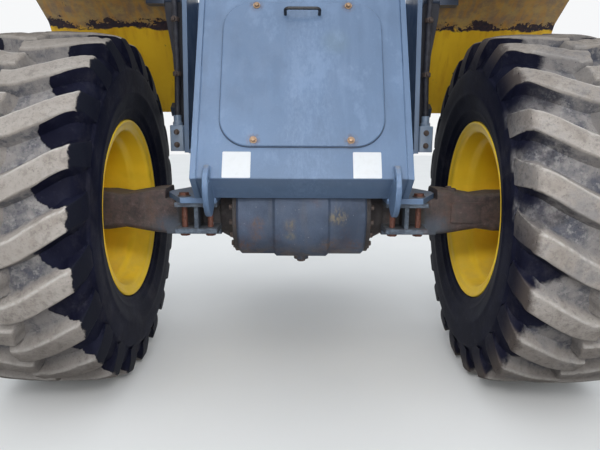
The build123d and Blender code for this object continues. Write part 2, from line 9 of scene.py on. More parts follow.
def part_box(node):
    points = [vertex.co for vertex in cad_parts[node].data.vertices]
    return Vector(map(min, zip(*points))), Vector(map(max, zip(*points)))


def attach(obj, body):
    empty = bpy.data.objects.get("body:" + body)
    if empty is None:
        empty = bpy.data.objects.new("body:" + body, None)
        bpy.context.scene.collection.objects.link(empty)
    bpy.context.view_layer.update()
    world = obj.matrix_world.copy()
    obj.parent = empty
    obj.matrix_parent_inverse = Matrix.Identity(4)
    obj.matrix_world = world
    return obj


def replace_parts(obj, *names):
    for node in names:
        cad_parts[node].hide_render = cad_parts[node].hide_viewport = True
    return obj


# Front chassis of an articulated wheel loader, dressed for the picture. Metres, in the part's frame:
# X to the machine's left, Y to its rear, Z up, origin in the lower articulation bore.

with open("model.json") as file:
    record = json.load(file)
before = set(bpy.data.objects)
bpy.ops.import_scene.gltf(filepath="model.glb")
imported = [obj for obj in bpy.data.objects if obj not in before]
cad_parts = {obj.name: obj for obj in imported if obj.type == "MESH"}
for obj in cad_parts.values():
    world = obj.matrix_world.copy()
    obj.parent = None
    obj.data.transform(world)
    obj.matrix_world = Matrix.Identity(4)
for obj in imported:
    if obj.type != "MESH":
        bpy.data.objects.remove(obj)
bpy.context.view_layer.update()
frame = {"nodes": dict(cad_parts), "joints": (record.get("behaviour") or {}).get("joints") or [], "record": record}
NODES = frame["nodes"]
JOINTS = {joint["name"]: joint for joint in frame["joints"]}
WHEEL_X, AXLE_Y, AXLE_Z = JOINTS["wheel_left_spin"]["pos_m"]
AXLE = Vector((0, AXLE_Y, AXLE_Z))
FLOOR_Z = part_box("tyre_left")[0].z
SIDES = (("left", 1), ("right", -1))

# Places on the frame, in metres from the middle of the axle
LEAN = math.radians(25.1)
PLATE_FOOT = Vector((0, -0.2417, 0.261))  # on the front plate's face, at the cover's foot
PLATE_UP = Vector((0, math.sin(LEAN), math.cos(LEAN)))
PLATE_OUT = Vector((0, -math.cos(LEAN), math.sin(LEAN)))
COVER_T, COVER_W, COVER_H, COVER_CORNER = 0.012, 0.6, 0.592, 0.11
COVER_BOLT_X, COVER_BOLT_UPS = 0.175, (0.0225, 0.5752)
FRAME_HALF, SIDE_IN = 0.3965, 0.3765
TOWER_FACE = 0.5115
EAR_X, EAR_T = 0.335, 0.02
LIP, FOLD = (-0.205, 0.071), (-0.3, 0.153)
FRONT_INSET = 0.00773


def at(x, y, z):
    """A place given from the middle of the axle."""
    return AXLE + Vector((x, y, z))


def on_plate(x, up, out=0):
    """A place on the leaning front plate, up along it from the cover's foot and out from its face."""
    return AXLE + PLATE_FOOT + Vector((x, 0, 0)) + PLATE_UP * up + PLATE_OUT * out


def front_line(rise):
    """Y and Z of the frame's front, from its lip to its fold and on up the leaning plate by a rise."""
    y, z = FOLD[0] + FRONT_INSET, FOLD[1]
    return (LIP[0] + FRONT_INSET, LIP[1]), (y, z), (y + rise * math.tan(LEAN), z + rise)


# Shader helpers

BEVEL_SAMPLES = 4


class Shader:
    """A node tree, with short calls for the nodes that the finishes and the world share."""

    def __init__(self, name, owners=bpy.data.materials):
        self.owner = owners.new(name)
        self.owner.use_nodes = True
        self.tree = self.owner.node_tree
        self.place = self.node("TexCoord").outputs["Object"]

    def node(self, kind, inputs=None, **settings):
        made = self.tree.nodes.new("ShaderNode" + kind)
        for key, value in settings.items():
            setattr(made, key, value)
        return self.fill(made, inputs or {})

    def fill(self, node, inputs):
        """Sets a node's inputs to values, or links them to other nodes' outputs, by name or number."""
        for key, value in inputs.items():
            socket = node.inputs[key]
            if isinstance(value, bpy.types.NodeSocket):
                self.tree.links.new(value, socket)
            elif socket.type == "RGBA":
                socket.default_value = (*value, 1)
            else:
                socket.default_value = value
        return node

    def noise(self, scale, detail, rough, grain=None):
        """Noise on the object's coordinates, stretched into streaks where grain scales the axes."""
        place = self.place
        if grain:
            place = self.node("Mapping", {"Vector": place, "Scale": grain}).outputs["Vector"]
        inputs = {"Vector": place, "Scale": scale, "Detail": detail, "Roughness": rough}
        return self.node("TexNoise", inputs).outputs["Fac"]

    def step(self, value, low, high, to_low=0, to_high=1, kind="SMOOTHSTEP"):
        """Ramp of a number from low to high."""
        inputs = {"Value": value, "From Min": low, "From Max": high, "To Min": to_low, "To Max": to_high}
        return self.node("MapRange", inputs, interpolation_type=kind).outputs["Result"]

    def spots(self, scale, detail, rough, low, high, to_low=0, to_high=1, grain=None):
        """Noise put through a ramp, which makes spots or patches of it."""
        return self.step(self.noise(scale, detail, rough, grain), low, high, to_low, to_high)

    def math(self, operation, first, second=0):
        return self.node("Math", {0: first, 1: second}, operation=operation).outputs[0]

    def times(self, product, *others):
        for other in others:
            product = self.math("MULTIPLY", product, other)
        return product

    def plus(self, first, second):
        return self.math("ADD", first, second)

    def minus(self, first, second):
        return self.math("SUBTRACT", first, second)

    def mix(self, factor, first, second):
        """Colour mix, where factor 0 gives the first colour."""
        return self.node("Mix", {0: factor, 6: first, 7: second}, data_type="RGBA").outputs[2]

    def layers(self, colour, *coats):
        """A colour with coats laid over it in turn, each as how far it covers and its own colour."""
        for cover, coat in coats:
            colour = self.mix(cover, colour, coat)
        return colour

    def split(self, vector):
        return self.node("SeparateXYZ", {0: vector}).outputs

    def near(self, spot, low, high, mirrored=False):
        """1 close to a spot, and to its mirror image where asked, fading out between two distances."""
        place = self.place
        if mirrored:
            x, y, z = self.split(place)
            place = self.node("CombineXYZ", {0: self.math("ABSOLUTE", x), 1: y, 2: z}).outputs[0]
        gap = self.node("VectorMath", {0: place, 1: spot}, operation="DISTANCE")
        return self.step(gap.outputs["Value"], high, low)

    def normal(self):
        return self.node("NewGeometry").outputs["Normal"]

    def upward(self):
        """How far the surface faces up, from -1 to 1."""
        return self.split(self.normal())[2]

    def rounded(self, radius):
        """The normal that the surface would have with rounded edges."""
        return self.node("Bevel", {"Radius": radius}, samples=BEVEL_SAMPLES).outputs[0]

    def edges(self, radius):
        """Near 1 on the edges of a piece, from a rounded normal set against the real one."""
        both = {0: self.rounded(radius), 1: self.normal()}
        dot = self.node("VectorMath", both, operation="DOT_PRODUCT")
        return self.step(dot.outputs["Value"], 0.995, 0.9)

    def attribute(self, name):
        return self.node("Attribute", attribute_name=name).outputs["Fac"]

    def bump(self, height, distance, strength, edge_radius=0):
        """Bump from a height, on top of rounded edges where edge_radius is given."""
        inputs = {"Height": height, "Distance": distance, "Strength": strength}
        if edge_radius:
            inputs["Normal"] = self.rounded(edge_radius)
        return self.node("Bump", inputs).outputs["Normal"]

    def backdrop_ray(self):
        """1 for the rays that see the backdrop: the camera's, and mirrored and let-through ones."""
        rays = self.node("LightPath").outputs
        past = self.math("MAXIMUM", rays["Is Glossy Ray"], rays["Is Transmission Ray"])
        return self.math("MAXIMUM", rays["Is Camera Ray"], past)

    def finish(self, colour, roughness, normal=None, metallic=0, specular=0.5):
        inputs = {"Base Color": colour, "Roughness": roughness, "Metallic": metallic,
                  "Specular IOR Level": specular}
        if normal is not None:
            inputs["Normal"] = normal
        self.fill(self.tree.nodes["Principled BSDF"], inputs)
        return self.owner


# Finishes

FRAME_BLUE, YELLOW = (0.116, 0.189, 0.318), (1, 0.65, 0.024)
DUST = (0.3, 0.27, 0.235)
RUST, RUST_DARK = (0.13, 0.055, 0.028), (0.045, 0.022, 0.016)
FLOOR_BOUNCE = (0.26, 0.25, 0.24)
FENDER_FOLD = 0.824  # metres above the axle


def scaled(colour, factor):
    return tuple(c * factor for c in colour)


def painted(name, colour, dust=0.3, rust=0.2, gloss=0.36, streak=0.3, grime=0.25, plate=False):
    """Old machine paint: faint patches, water streaks, dust on top, rubbed edges and a few rust spots."""
    s = Shader(name)
    pale = tuple(min(1, c * 1.3 + 0.05) for c in colour)
    dark = scaled(colour, 0.7)
    run = s.noise(30, 4, 0.55, (1, 0.25, 0.05))
    washed = s.spots(3, 3, 0.6, 0.4, 0.65, grain=(1, 0.4, 0.25))
    fine = s.noise(150, 3, 0.7)
    # Painted shade, laid in patches like dirt: every painted part is darker below the height of the frame's fold,
    # where low parts face the ground
    fold = AXLE.z + FOLD[1]
    low = s.step(s.split(s.place)[2], fold, fold - 0.05)
    settle = s.times(s.step(s.upward(), 0.55, 0.97), s.spots(9, 6, 0.65, 0.3, 0.62),
                     s.step(fine, 0.2, 0.7, 0.5, 1))
    body = s.layers(
        colour,
        (s.spots(2.2, 3, 0.5, 0.35, 0.65, 0, 0.5), dark),
        (s.times(s.step(run, 0.45, 0.72, 0, streak), washed), pale),
        (s.step(run, 0.44, 0.24, 0, grime), dark),
        (s.step(fine, 0.55, 0.8, 0, 0.22), pale),
        (s.times(low, s.spots(12, 5, 0.65, 0.25, 0.7, 0.15, 0.5)), dark),
        (s.times(settle, dust), DUST))
    if plate:
        body = plate_wear(s, body, pale, dark, fine)
    rub = s.edges(0.004)
    rusted = s.times(s.spots(23, 6, 0.75, 0.7, 0.75), rust)
    body = s.layers(
        body,
        (s.times(rub, s.spots(40, 4, 0.7, 0.4, 0.6, 0.1, 0.6)), pale),
        (s.times(rub, s.spots(55, 4, 0.75, 0.6, 0.66, 0, rust * 2)), RUST),
        (rusted, s.mix(s.step(fine, 0.35, 0.65), RUST_DARK, RUST)))
    rough = s.plus(s.spots(17, 4, 0.6, 0.3, 0.7, gloss - 0.05, gloss + 0.1),
                   s.times(s.plus(settle, low), 0.25))
    dents = s.spots(2.6, 2, 0.4, 0.3, 0.7)
    height = s.plus(s.times(s.noise(75, 3, 0.6), 0.22), s.times(dents, 1.6))
    height = s.minus(height, s.times(rusted, 0.5))
    return s.finish(body, rough, s.bump(height, 0.0011, 0.5, 0.009 if plate else 0.0022))


def plate_wear(s, body, pale, dark, fine):
    """The front plate's own marks: a chalky band down its middle, chips, and rust round the bolts."""
    x, _, z = s.split(s.place)
    touched_up, stained = (0.13, 0.2, 0.25), (0.1, 0.055, 0.045)
    band = s.times(s.step(x, -0.1, -0.02), s.step(x, 0.15, 0.07))
    chalk = s.spots(85, 7, 0.78, 0.36, 0.74, grain=(1, 0.5, 0.4))
    marks = [(s.times(band, chalk, 0.42), pale),
             (s.times(s.near(on_plate(0.125, 0.42), 0.02, 0.075), 0.35), touched_up)]
    for spot in (on_plate(-0.04, 0.475), on_plate(-0.06, 0.32), on_plate(0.01, 0.49)):
        marks.append((s.times(s.near(spot, 0.004, 0.018), s.step(fine, 0.5, 0.56)), dark))
    for up in COVER_BOLT_UPS:
        halo = s.near(on_plate(COVER_BOLT_X, up), 0.013, 0.036, mirrored=True)
        marks.append((s.times(halo, s.spots(70, 5, 0.7, 0.38, 0.62, 0.15, 0.9)), stained))
    blotch = s.noise(7.5, 6, 0.68, (1, 0.8, 0.6))
    cover_foot = AXLE.z + PLATE_FOOT.z
    foot = s.times(s.step(z, cover_foot, cover_foot - 0.1), s.spots(14, 5, 0.65, 0.3, 0.7, 0.1, 0.5))
    return s.layers(
        body, *marks, (s.step(blotch, 0.5, 0.66, 0, 0.38), dark),
        (s.step(blotch, 0.46, 0.34, 0, 0.3), pale), (foot, dark))


def fender_paint():
    """Yellow sheet: sound below, scraped to dark primer and rust along its fold, browner above it, where its
    underside has dirt and painted shade.
    """
    s = Shader("fender_yellow")
    yellow, ochre, orange = (1, 0.63, 0.03), (0.86, 0.5, 0.024), (0.72, 0.34, 0.02)
    brown, straw = (0.23, 0.15, 0.125), (0.5, 0.34, 0.13)
    primer, rust = (0.01, 0.009, 0.022), (0.048, 0.022, 0.026)
    fold = AXLE.z + FENDER_FOLD
    run = s.noise(34, 4, 0.6, (1, 0.3, 0.06))
    ragged = s.plus(s.split(s.place)[2], s.times(s.noise(16, 6, 0.72, (0.6, 1, 1)), 0.07))
    above = s.step(ragged, fold - 0.004, fold + 0.006)
    below = s.times(s.step(ragged, fold - 0.06, fold - 0.006), s.step(run, 0.42, 0.62))
    band_top = s.plus(s.spots(9, 6, 0.75, 0.38, 0.6, -0.004, 0.034), fold)
    band = s.times(s.step(ragged, fold - 0.01, fold - 0.004), s.math("LESS_THAN", ragged, band_top))
    rusty = s.mix(s.spots(60, 5, 0.7, 0.35, 0.65), primer, rust)
    chips = s.spots(26, 6, 0.75, 0.655, 0.69)
    settle = s.times(s.step(s.upward(), 0.5, 0.95), s.spots(8, 6, 0.65, 0.3, 0.62))
    body = s.layers(
        yellow,
        (s.spots(4, 4, 0.6, 0.35, 0.65, 0, 0.55), ochre),
        (s.step(run, 0.52, 0.75, 0, 0.5), orange),
        # Above the fold, on the fender's underside: dirt, with painted shade
        (s.times(above, 0.88), s.mix(s.spots(13, 6, 0.7, 0.35, 0.65), brown, straw)),
        (s.times(below, 0.45), orange),
        (band, rusty),
        (chips, rusty),
        (s.times(s.edges(0.005), s.spots(30, 4, 0.7, 0.44, 0.56)), rusty),
        (s.times(settle, 0.6), DUST))
    peeled = s.math("MAXIMUM", band, chips)
    rough = s.plus(0.42, s.times(s.plus(peeled, settle), 0.3))
    relief = s.minus(s.times(s.noise(50, 3, 0.6), 0.3), s.times(peeled, 0.8))
    return s.finish(body, rough, s.bump(relief, 0.0012, 0.7, 0.0018))


def arm_skin(s, body, patch, mottle):
    """An axle arm's colours: brown mottles, thin blue below and at its seat, and near-black painted shade between
    the seat's plates and at its root.
    """
    x, y, z = s.split(s.place)
    brown, grey, thin_blue = (0.07, 0.046, 0.044), (0.125, 0.105, 0.1), (0.055, 0.075, 0.105)
    dark_blue, blue = (0.045, 0.06, 0.085), (0.095, 0.125, 0.165)
    shade_black, shade_brown = (0.012, 0.01, 0.01), (0.05, 0.036, 0.03)
    outward = s.math("ABSOLUTE", x)
    mottled = s.step(mottle, 0.4, 0.6)
    low = s.times(s.step(s.plus(outward, s.times(mottle, 0.12)), 0.66, 0.6),
                  s.step(z, AXLE.z + 0.01, AXLE.z - 0.05))
    seat = s.step(s.plus(outward, s.times(patch, 0.03)), 0.515, 0.495)
    # Painted shade, near-black: deep between the seat's plates, and at the arm's root by the drum
    deep = s.step(s.math("ABSOLUTE", s.minus(y, AXLE.y)), 0.165, 0.12)
    between_plates = s.step(s.math("ABSOLUTE", s.minus(z, AXLE.z - 0.006)), 0.046, 0.036)
    shaded = s.math("MAXIMUM", s.times(deep, between_plates, seat), s.step(outward, 0.322, 0.314))
    return s.layers(
        body,
        (mottled, brown),
        (s.step(mottle, 0.58, 0.68, 0, 0.7), grey),
        (s.times(low, 0.75), thin_blue),
        (seat, s.mix(mottled, dark_blue, blue)),
        (s.times(shaded, 0.9), s.mix(mottle, shade_black, shade_brown)))


DRUM_R = 0.185
# Torn paint on the differential's drum: X, height, size and colour of each spot
TORN_PAINT = (
    (0.137, -0.003, 0.05, (0.25, 0.2, 0.11)), (-0.041, -0.03, 0.034, (0.2, 0.18, 0.11)),
    (-0.041, -0.075, 0.03, (0.2, 0.18, 0.11)), (-0.165, -0.03, 0.036, (0.16, 0.09, 0.05)),
    (-0.165, -0.08, 0.04, (0.14, 0.08, 0.05)), (-0.215, -0.125, 0.06, (0.12, 0.055, 0.03)),
    (0.105, -0.115, 0.05, (0.15, 0.09, 0.05)), (0.205, -0.125, 0.05, (0.12, 0.06, 0.035)))


def drum_skin(s, body):
    """The differential drum's own marks: spots of torn paint, and fine pale chips."""
    torn = s.spots(75, 7, 0.8, 0.42, 0.62, grain=(1, 1, 0.45))
    for x, z, wide, tint in TORN_PAINT:
        spot = s.near(at(x, -math.sqrt(DRUM_R ** 2 - z ** 2), z), wide * 0.25, wide)
        body = s.mix(s.times(spot, torn, 0.75), body, tint)
    return s.mix(s.spots(95, 3, 0.6, 0.7, 0.73, 0, 0.8), body, (0.32, 0.34, 0.36))


def cast_metal(name, colour, rust, arm=False):
    """Cast axle housing: rough skin, thin dirty paint, rust and dried mud."""
    s = Shader(name)
    drips, mud = (0.13, 0.115, 0.1), (0.17, 0.125, 0.085)
    grain = s.noise(110, 5, 0.7)
    patch = s.noise(5, 5, 0.62)
    mottle = s.noise(34, 6, 0.75)
    body = s.mix(s.step(patch, 0.35, 0.65, 0, 0.8), colour, scaled(colour, 0.55))
    body = arm_skin(s, body, patch, mottle) if arm else drum_skin(s, body)
    low = s.step(s.split(s.place)[2], AXLE.z - 0.1, AXLE.z - 0.185)
    muddy = s.times(low, s.spots(15, 6, 0.7, 0.42, 0.6, 0, 0.55))
    top = s.times(s.step(s.upward(), 0.45, 0.95), s.step(grain, 0.25, 0.6, 0.1, 0.35 if arm else 0.6))
    body = s.layers(
        body,
        (s.spots(18, 5, 0.65, 0.52, 0.68, 0, 0.2, (1, 0.5, 0.12)), drips),
        (s.times(s.spots(8, 7, 0.72, 0.5, 0.66, grain=(1, 1, 0.6)), rust),
         s.mix(s.step(grain, 0.3, 0.7), RUST_DARK, RUST)),
        (muddy, mud),
        (top, scaled(DUST, 0.55)))
    height = s.plus(s.plus(s.times(grain, 0.6), s.times(muddy, 0.8)), s.times(mottle, 0.9))
    return s.finish(body, s.step(patch, 0.3, 0.7, 0.55, 0.85), s.bump(height, 0.003, 0.8, 0.005))


def tyre_rubber(name, ragged, soft, bevel, rubbed_off, damp):
    """Tyre: dusty tread, grey grooves, and shoulders and walls blackened up to a ragged edge."""
    s = Shader(name)
    top = s.attribute("lug_top")
    fine = s.noise(170, 5, 0.75)
    patch = s.noise(11, 6, 0.65)
    scuff = s.noise(46, 6, 0.72)
    dusty = s.layers(
        (0.255, 0.227, 0.203),
        (s.step(patch, 0.3, 0.7), (0.37, 0.34, 0.312)),
        (s.step(scuff, 0.46, 0.66, 0, 0.55), (0.15, 0.135, 0.126)),
        (s.step(fine, 0.54, 0.68, 0, 0.55), (0.085, 0.08, 0.078)),
        (s.spots(5.5, 5, 0.7, 0.48, 0.64, 0, 0.55), damp))
    groove = s.layers(
        (0.085, 0.088, 0.106),
        (s.step(patch, 0.36, 0.6), (0.235, 0.22, 0.213)),
        (s.step(scuff, 0.5, 0.62, 0, 0.7), (0.27, 0.26, 0.255)),
        (s.step(fine, 0.58, 0.68, 0, 0.85), (0.03, 0.031, 0.04)))
    tread = s.layers(
        groove,
        (s.step(s.plus(top, s.times(s.minus(scuff, 0.5), 0.6)), 0.2, 0.62), dusty),
        # Pale line along the lugs' edges: worn rubber, and a painted highlight that is strongest on the upper
        # edges
        (s.times(s.attribute("worn"), s.step(scuff, 0.34, 0.62, 0.15, 0.85)), (0.47, 0.445, 0.415)),
        # Tread darker towards the bottom of the tyre: painted shade
        (s.step(s.split(s.place)[2], AXLE.z - 0.1, AXLE.z - 0.52, 0, 0.38), (0.055, 0.053, 0.056)))
    past = s.minus(s.attribute("inward"), s.attribute("edge"))
    wall = s.layers(
        (0.0045, 0.005, 0.0135),
        (s.spots(9, 5, 0.6, 0.4, 0.7), (0.0095, 0.0105, 0.023)),
        (s.step(scuff, 0.56, 0.74, 0, 0.45), (0.04, 0.041, 0.055)),
        (s.spots(7, 7, 0.78, 0.5, 0.68, 0, 0.42, (1, 1, 0.7)), (0.042, 0.04, 0.048)),
        (s.times(s.step(past, 0.036, 0.012), s.step(top, 0.55, 0.85)), bevel))
    wander = s.times(s.minus(s.noise(26, 6, 0.7), 0.5), ragged)
    faded = s.times(s.near(at(0.76, -0.58, 0.24), 0.1, 0.32), s.step(past, 0.11, 0.05),
                    s.step(scuff, 0.35, 0.6, 0.5, 1))
    dressed = s.times(s.step(s.plus(past, wander), -soft, soft), s.minus(1, s.times(faded, rubbed_off)))
    height = s.plus(s.times(fine, 0.35), s.times(scuff, 0.65))
    height = s.plus(height, s.times(s.spots(60, 4, 0.8, 0.62, 0.7), -0.6))
    relief = s.times(height, s.step(dressed, 0, 1, 1, 0.35))
    return s.finish(s.mix(dressed, tread, wall), s.step(dressed, 0, 1, 0.92, 0.55),
                    s.bump(relief, 0.003, 0.8), specular=0.05)


def plain_metal(name, colour, rough, metallic, grime=0.4):
    """Plated or bare steel with grime in its pores."""
    s = Shader(name)
    return s.finish(s.mix(s.spots(120, 5, 0.7, 0.45, 0.7, 0, grime), colour, RUST_DARK),
                    s.spots(60, 3, 0.6, 0.3, 0.7, rough - 0.1, rough + 0.2),
                    s.bump(s.noise(200, 3, 0.6), 0.0004, 0.5), metallic)


def rubber_hose():
    """Hose cover: fine wrapped cloth pattern under grey dust."""
    s = Shader("hose_cover")
    wrap = s.node("TexWave", {"Vector": s.place, "Scale": 220}, wave_type="BANDS",
                  bands_direction="DIAGONAL")
    dusty = s.spots(40, 5, 0.7, 0.4, 0.7, 0, 0.35)
    return s.finish(s.mix(dusty, (0.014, 0.015, 0.024), (0.085, 0.09, 0.115)), 0.6,
                    s.bump(wrap.outputs["Fac"], 0.0006, 0.5))


def sticker_white():
    """Blank white sticker, a little soiled."""
    s = Shader("sticker_white")
    soil = s.spots(45, 5, 0.7, 0.5, 0.8, 0, 0.25)
    return s.finish(s.mix(soil, (0.58, 0.6, 0.62), (0.4, 0.4, 0.38)), 0.35,
                    s.bump(s.noise(90, 2, 0.5), 0.0003, 0.3))


def floor_material():
    """Pale floor that keeps the shadow, and throws back no more light than the yard's ground does."""
    s = Shader("studio_floor")
    pale = s.mix(s.noise(2, 2, 0.5), (0.76, 0.76, 0.75), (0.82, 0.82, 0.81))
    return s.finish(s.mix(s.backdrop_ray(), FLOOR_BOUNCE, pale), 0.9)


# Mesh helpers

SHARP_DEG = 38


def add_object(name, data):
    """A new object for the data, in the scene."""
    made = bpy.data.objects.new(name, data)
    bpy.context.scene.collection.objects.link(made)
    return made


def ring(count, radius, phase=0):
    """Points evenly round a circle about the origin."""
    turns = [2 * math.pi * (k + phase) / count for k in range(count)]
    return [(radius * math.cos(a), radius * math.sin(a)) for a in turns]


def grid_faces(rows, columns, wrap_rows=False, wrap_columns=False):
    """Quads of a grid of points that is stored row by row."""
    faces = []
    for i in range(rows if wrap_rows else rows - 1):
        for j in range(columns if wrap_columns else columns - 1):
            a, b = i * columns, (i + 1) % rows * columns
            k = (j + 1) % columns
            faces.append((a + j, a + k, b + k, b + j))
    return faces


def outward_if(right_way, faces):
    """The faces, turned over unless they already look outward."""
    return faces if right_way else [tuple(reversed(face)) for face in faces]


def lathe(profile, sides):
    """Surface of revolution about local Z, from points of radius and height, bottom to top."""
    verts = [(x, y, height) for radius, height in profile for x, y in ring(sides, radius)]
    return verts, grid_faces(len(profile), sides, wrap_columns=True)


class Pile:
    """A mesh that is put together from shapes and then made into one piece."""

    def __init__(self):
        self.verts, self.faces, self.values = [], [], {}

    def add(self, verts, faces, place=None, **values):
        base = len(self.verts)
        self.verts += [place @ Vector(v) for v in verts] if place else [Vector(v) for v in verts]
        self.faces += [tuple(base + i for i in face) for face in faces]
        for name, numbers in values.items():
            self.values.setdefault(name, []).extend(numbers)

    def turned(self, place, sides, *profile):
        """Adds a surface of revolution about the place's own Z."""
        self.add(*lathe(profile, sides), place)

    def piece(self, name, material, slot_name, body="chassis", sharp=SHARP_DEG):
        mesh = bpy.data.meshes.new(name)
        mesh.from_pydata(self.verts, [], self.faces)
        mesh.update()
        for value, numbers in self.values.items():
            mesh.attributes.new(value, "FLOAT", "POINT").data.foreach_set("value", numbers)
        mesh.materials.append(material)
        mesh.polygons.foreach_set("use_smooth", [True] * len(mesh.polygons))
        mesh.set_sharp_from_angle(angle=math.radians(sharp))
        made = add_object(name, mesh)
        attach(made, body)
        return made


def facing(place, normal, spin=0):
    """Turns local Z to the normal and moves it to the place."""
    turn = Vector(normal).to_track_quat("Z", "Y").to_matrix().to_4x4()
    return Matrix.Translation(place) @ turn @ Matrix.Rotation(spin, 4, "Z")


def add_bolt(pile, place, normal, across, head, spin=0, stud=0):
    """Hex head on a washer, with the end of a stud where it is a nut."""
    r = across / math.sqrt(3)
    washer, t = 1.35 * r, head * 0.22
    top = t + head
    where = facing(place, normal, spin)
    pile.turned(where, 24, (washer, 0), (washer, t * 0.8), (washer * 0.95, t), (0, t))
    pile.turned(where, 6, (r, t), (r, t + head * 0.86), (r * 0.88, top), (r * 0.84, top), (0, top))
    if stud:
        s = across * 0.3
        pile.turned(where, 16, (s, top), (s, top + stud * 0.85), (s * 0.85, top + stud), (0, top + stud))


def tube(path, radius, sides, ripple=0, pitch=0.006, caps=True):
    """Round tube along a list of places; ripple makes it a weld bead."""
    verts, run = [], 0
    side = None
    for i, spot in enumerate(path):
        ahead = (path[min(i + 1, len(path) - 1)] - path[max(i - 1, 0)]).normalized()
        if side is None:
            side = ahead.orthogonal().normalized()
        side = (side - ahead * side.dot(ahead)).normalized()
        other = ahead.cross(side)
        if i:
            run += (spot - path[i - 1]).length
        wide = radius * (1 + ripple * math.sin(2 * math.pi * run / pitch)
                         + ripple * noise.noise(spot * 60))
        verts += [spot + side * x + other * y for x, y in ring(sides, wide)]
    faces = grid_faces(len(path), sides, wrap_columns=True)
    if caps:
        last = (len(path) - 1) * sides
        faces += [tuple(reversed(range(sides))), tuple(range(last, last + sides))]
    return verts, faces


def stepped(points, pitch):
    """Places about pitch apart along straight runs between points."""
    places = []
    for a, b in zip(points, points[1:]):
        count = max(1, round((b - a).length / pitch))
        places += [a.lerp(b, i / count) for i in range(count)]
    return places + [points[-1]]


def rounded_rectangle(width, height, radius, steps=8):
    """Outline about the origin, anticlockwise."""
    outline = []
    for cx, cy, start in ((1, 1, 0), (-1, 1, 90), (-1, -1, 180), (1, -1, 270)):
        for k in range(steps + 1):
            a = math.radians(start + 90 * k / steps)
            outline.append((cx * (width / 2 - radius) + radius * math.cos(a),
                            cy * (height / 2 - radius) + radius * math.sin(a)))
    return outline


def slab(outline, thickness, bevel):
    """Flat plate from an outline about the origin, local Z up, with a bevelled upper edge."""
    n = len(outline)
    centre = Vector((sum(p[0] for p in outline) / n, sum(p[1] for p in outline) / n))
    verts = []
    for inset, z in ((0, 0), (0, thickness - bevel), (bevel, thickness)):
        for p in outline:
            away = Vector(p) - centre
            q = centre + away * max(0, 1 - inset / max(away.length, 1e-6))
            verts.append((q.x, q.y, z))
    faces = grid_faces(3, n, wrap_columns=True)
    return verts, faces + [tuple(range(2 * n, 3 * n)), tuple(reversed(range(n)))]


# Tyres

# Half profiles in metres, from the middle of the tread out: distance from the wheel's middle plane, radius
LUG_LINE = (
    (0, 0.6826), (0.06, 0.682), (0.115, 0.6802), (0.165, 0.6766), (0.205, 0.6713), (0.2285, 0.665),
    (0.2345, 0.66), (0.2395, 0.648), (0.247, 0.625), (0.253, 0.6), (0.2568, 0.576), (0.2585, 0.556),
    (0.258, 0.541))
FLOOR_LINE = (
    (0, 0.636), (0.06, 0.6355), (0.115, 0.634), (0.165, 0.631), (0.2, 0.626), (0.22, 0.618), (0.23, 0.61),
    (0.2378, 0.599), (0.2436, 0.586), (0.2474, 0.574), (0.25, 0.564), (0.2522, 0.5585), (0.2582, 0.5505))
WALL_LINE = (
    (0.2592, 0.543), (0.26, 0.528), (0.2603, 0.508), (0.26, 0.488), (0.2592, 0.47), (0.26, 0.466),
    (0.2598, 0.458), (0.257, 0.448), (0.252, 0.428), (0.246, 0.41), (0.2455, 0.404), (0.244, 0.398),
    (0.237, 0.39), (0.233, 0.377), (0.2305, 0.364), (0.223, 0.358), (0.216, 0.3575))
LUG_COUNT = 22
LUG_PITCH = 2 * math.pi / LUG_COUNT
LUG_HALF_WIDTH, LUG_FOOT_WIDER, LUG_HEIGHT = 0.0325, 0.3, 0.047
TIP_X = -0.016
# A lug's middle line from the tread's middle out: distance from it, and how far round from the shoulder it is
LUG_SWEEP = (
    (0, 0.115), (0.022, 0.115), (0.038, 0.109), (0.076, 0.0915), (0.108, 0.074), (0.128, 0.0615),
    (0.153, 0.046), (0.198, 0.0185), (0.225, 0.004), (0.238, 0))
SWEEP_BLUR = 0.009  # metres, to each side
SHOULDER_STEP, LAST_STEP = 6, 12  # places on the half profiles
BEND_STEPS = (1.2, 1)  # steps before and after the shoulder
LUG_LEAN = 0.047  # how far the foot leans the other way
# A lug's tip: height from the floor, and metres past the end of its top
TIP_SLOPE = ((-0.05, 0.018), (0.1, 0.0135), (0.45, 0.0075), (0.82, 0.002), (0.96, -0.001), (1, -0.004))
# Degrees from the front horizontal up to an inner lug's shoulder, and metres from the wheel's middle plane to
# the edge of the dressing: on the lugs' tops, and in the grooves just below and just above a lug
TREAD = {"right": (5.75, 0.2335, 0.128, 0.18), "left": (0.6, 0.2235, 0.124, 0.2)}
# Across a lug from its upper to its lower foot: side, metres beyond its edge, height from the floor, how much
# it is a lug's top, how worn it is. How worn it is also makes a pale line along the edges: worn rubber, and a
# painted highlight that is strongest on the upper edge
LUG_SECTION = (
    (-1, 0.03, -0.05, 0.15, 0), (-1, 0.0245, 0.06, 0.3, 0), (-1, 0.016, 0.36, 0.5, 0),
    (-1, 0.0062, 0.75, 0.7, 0.1), (-1, 0.001, 0.95, 0.95, 1), (-1, -0.0022, 0.997, 1, 1),
    (-1, -0.0075, 1, 1, 0.1), (-1, -0.02, 1, 1, 0), (0, 0, 1, 1, 0),
    (1, -0.02, 1, 1, 0), (1, -0.0075, 1, 1, 0.1), (1, -0.0022, 0.997, 1, 0.3),
    (1, 0.0008, 0.95, 0.8, 0.2), (1, 0.0032, 0.78, 0.35, 0), (1, 0.008, 0.4, 0.2, 0),
    (1, 0.0125, 0.08, 0.15, 0), (1, 0.015, -0.05, 0.1, 0))
RINGS = 264
GROOVE_TOP, WALL_INWARD = 0.15, 0.3  # the casing's values for lug_top and inward
UNEVEN, NICK_DEPTH = 0.0018, 0.016  # metres, worn into the lugs


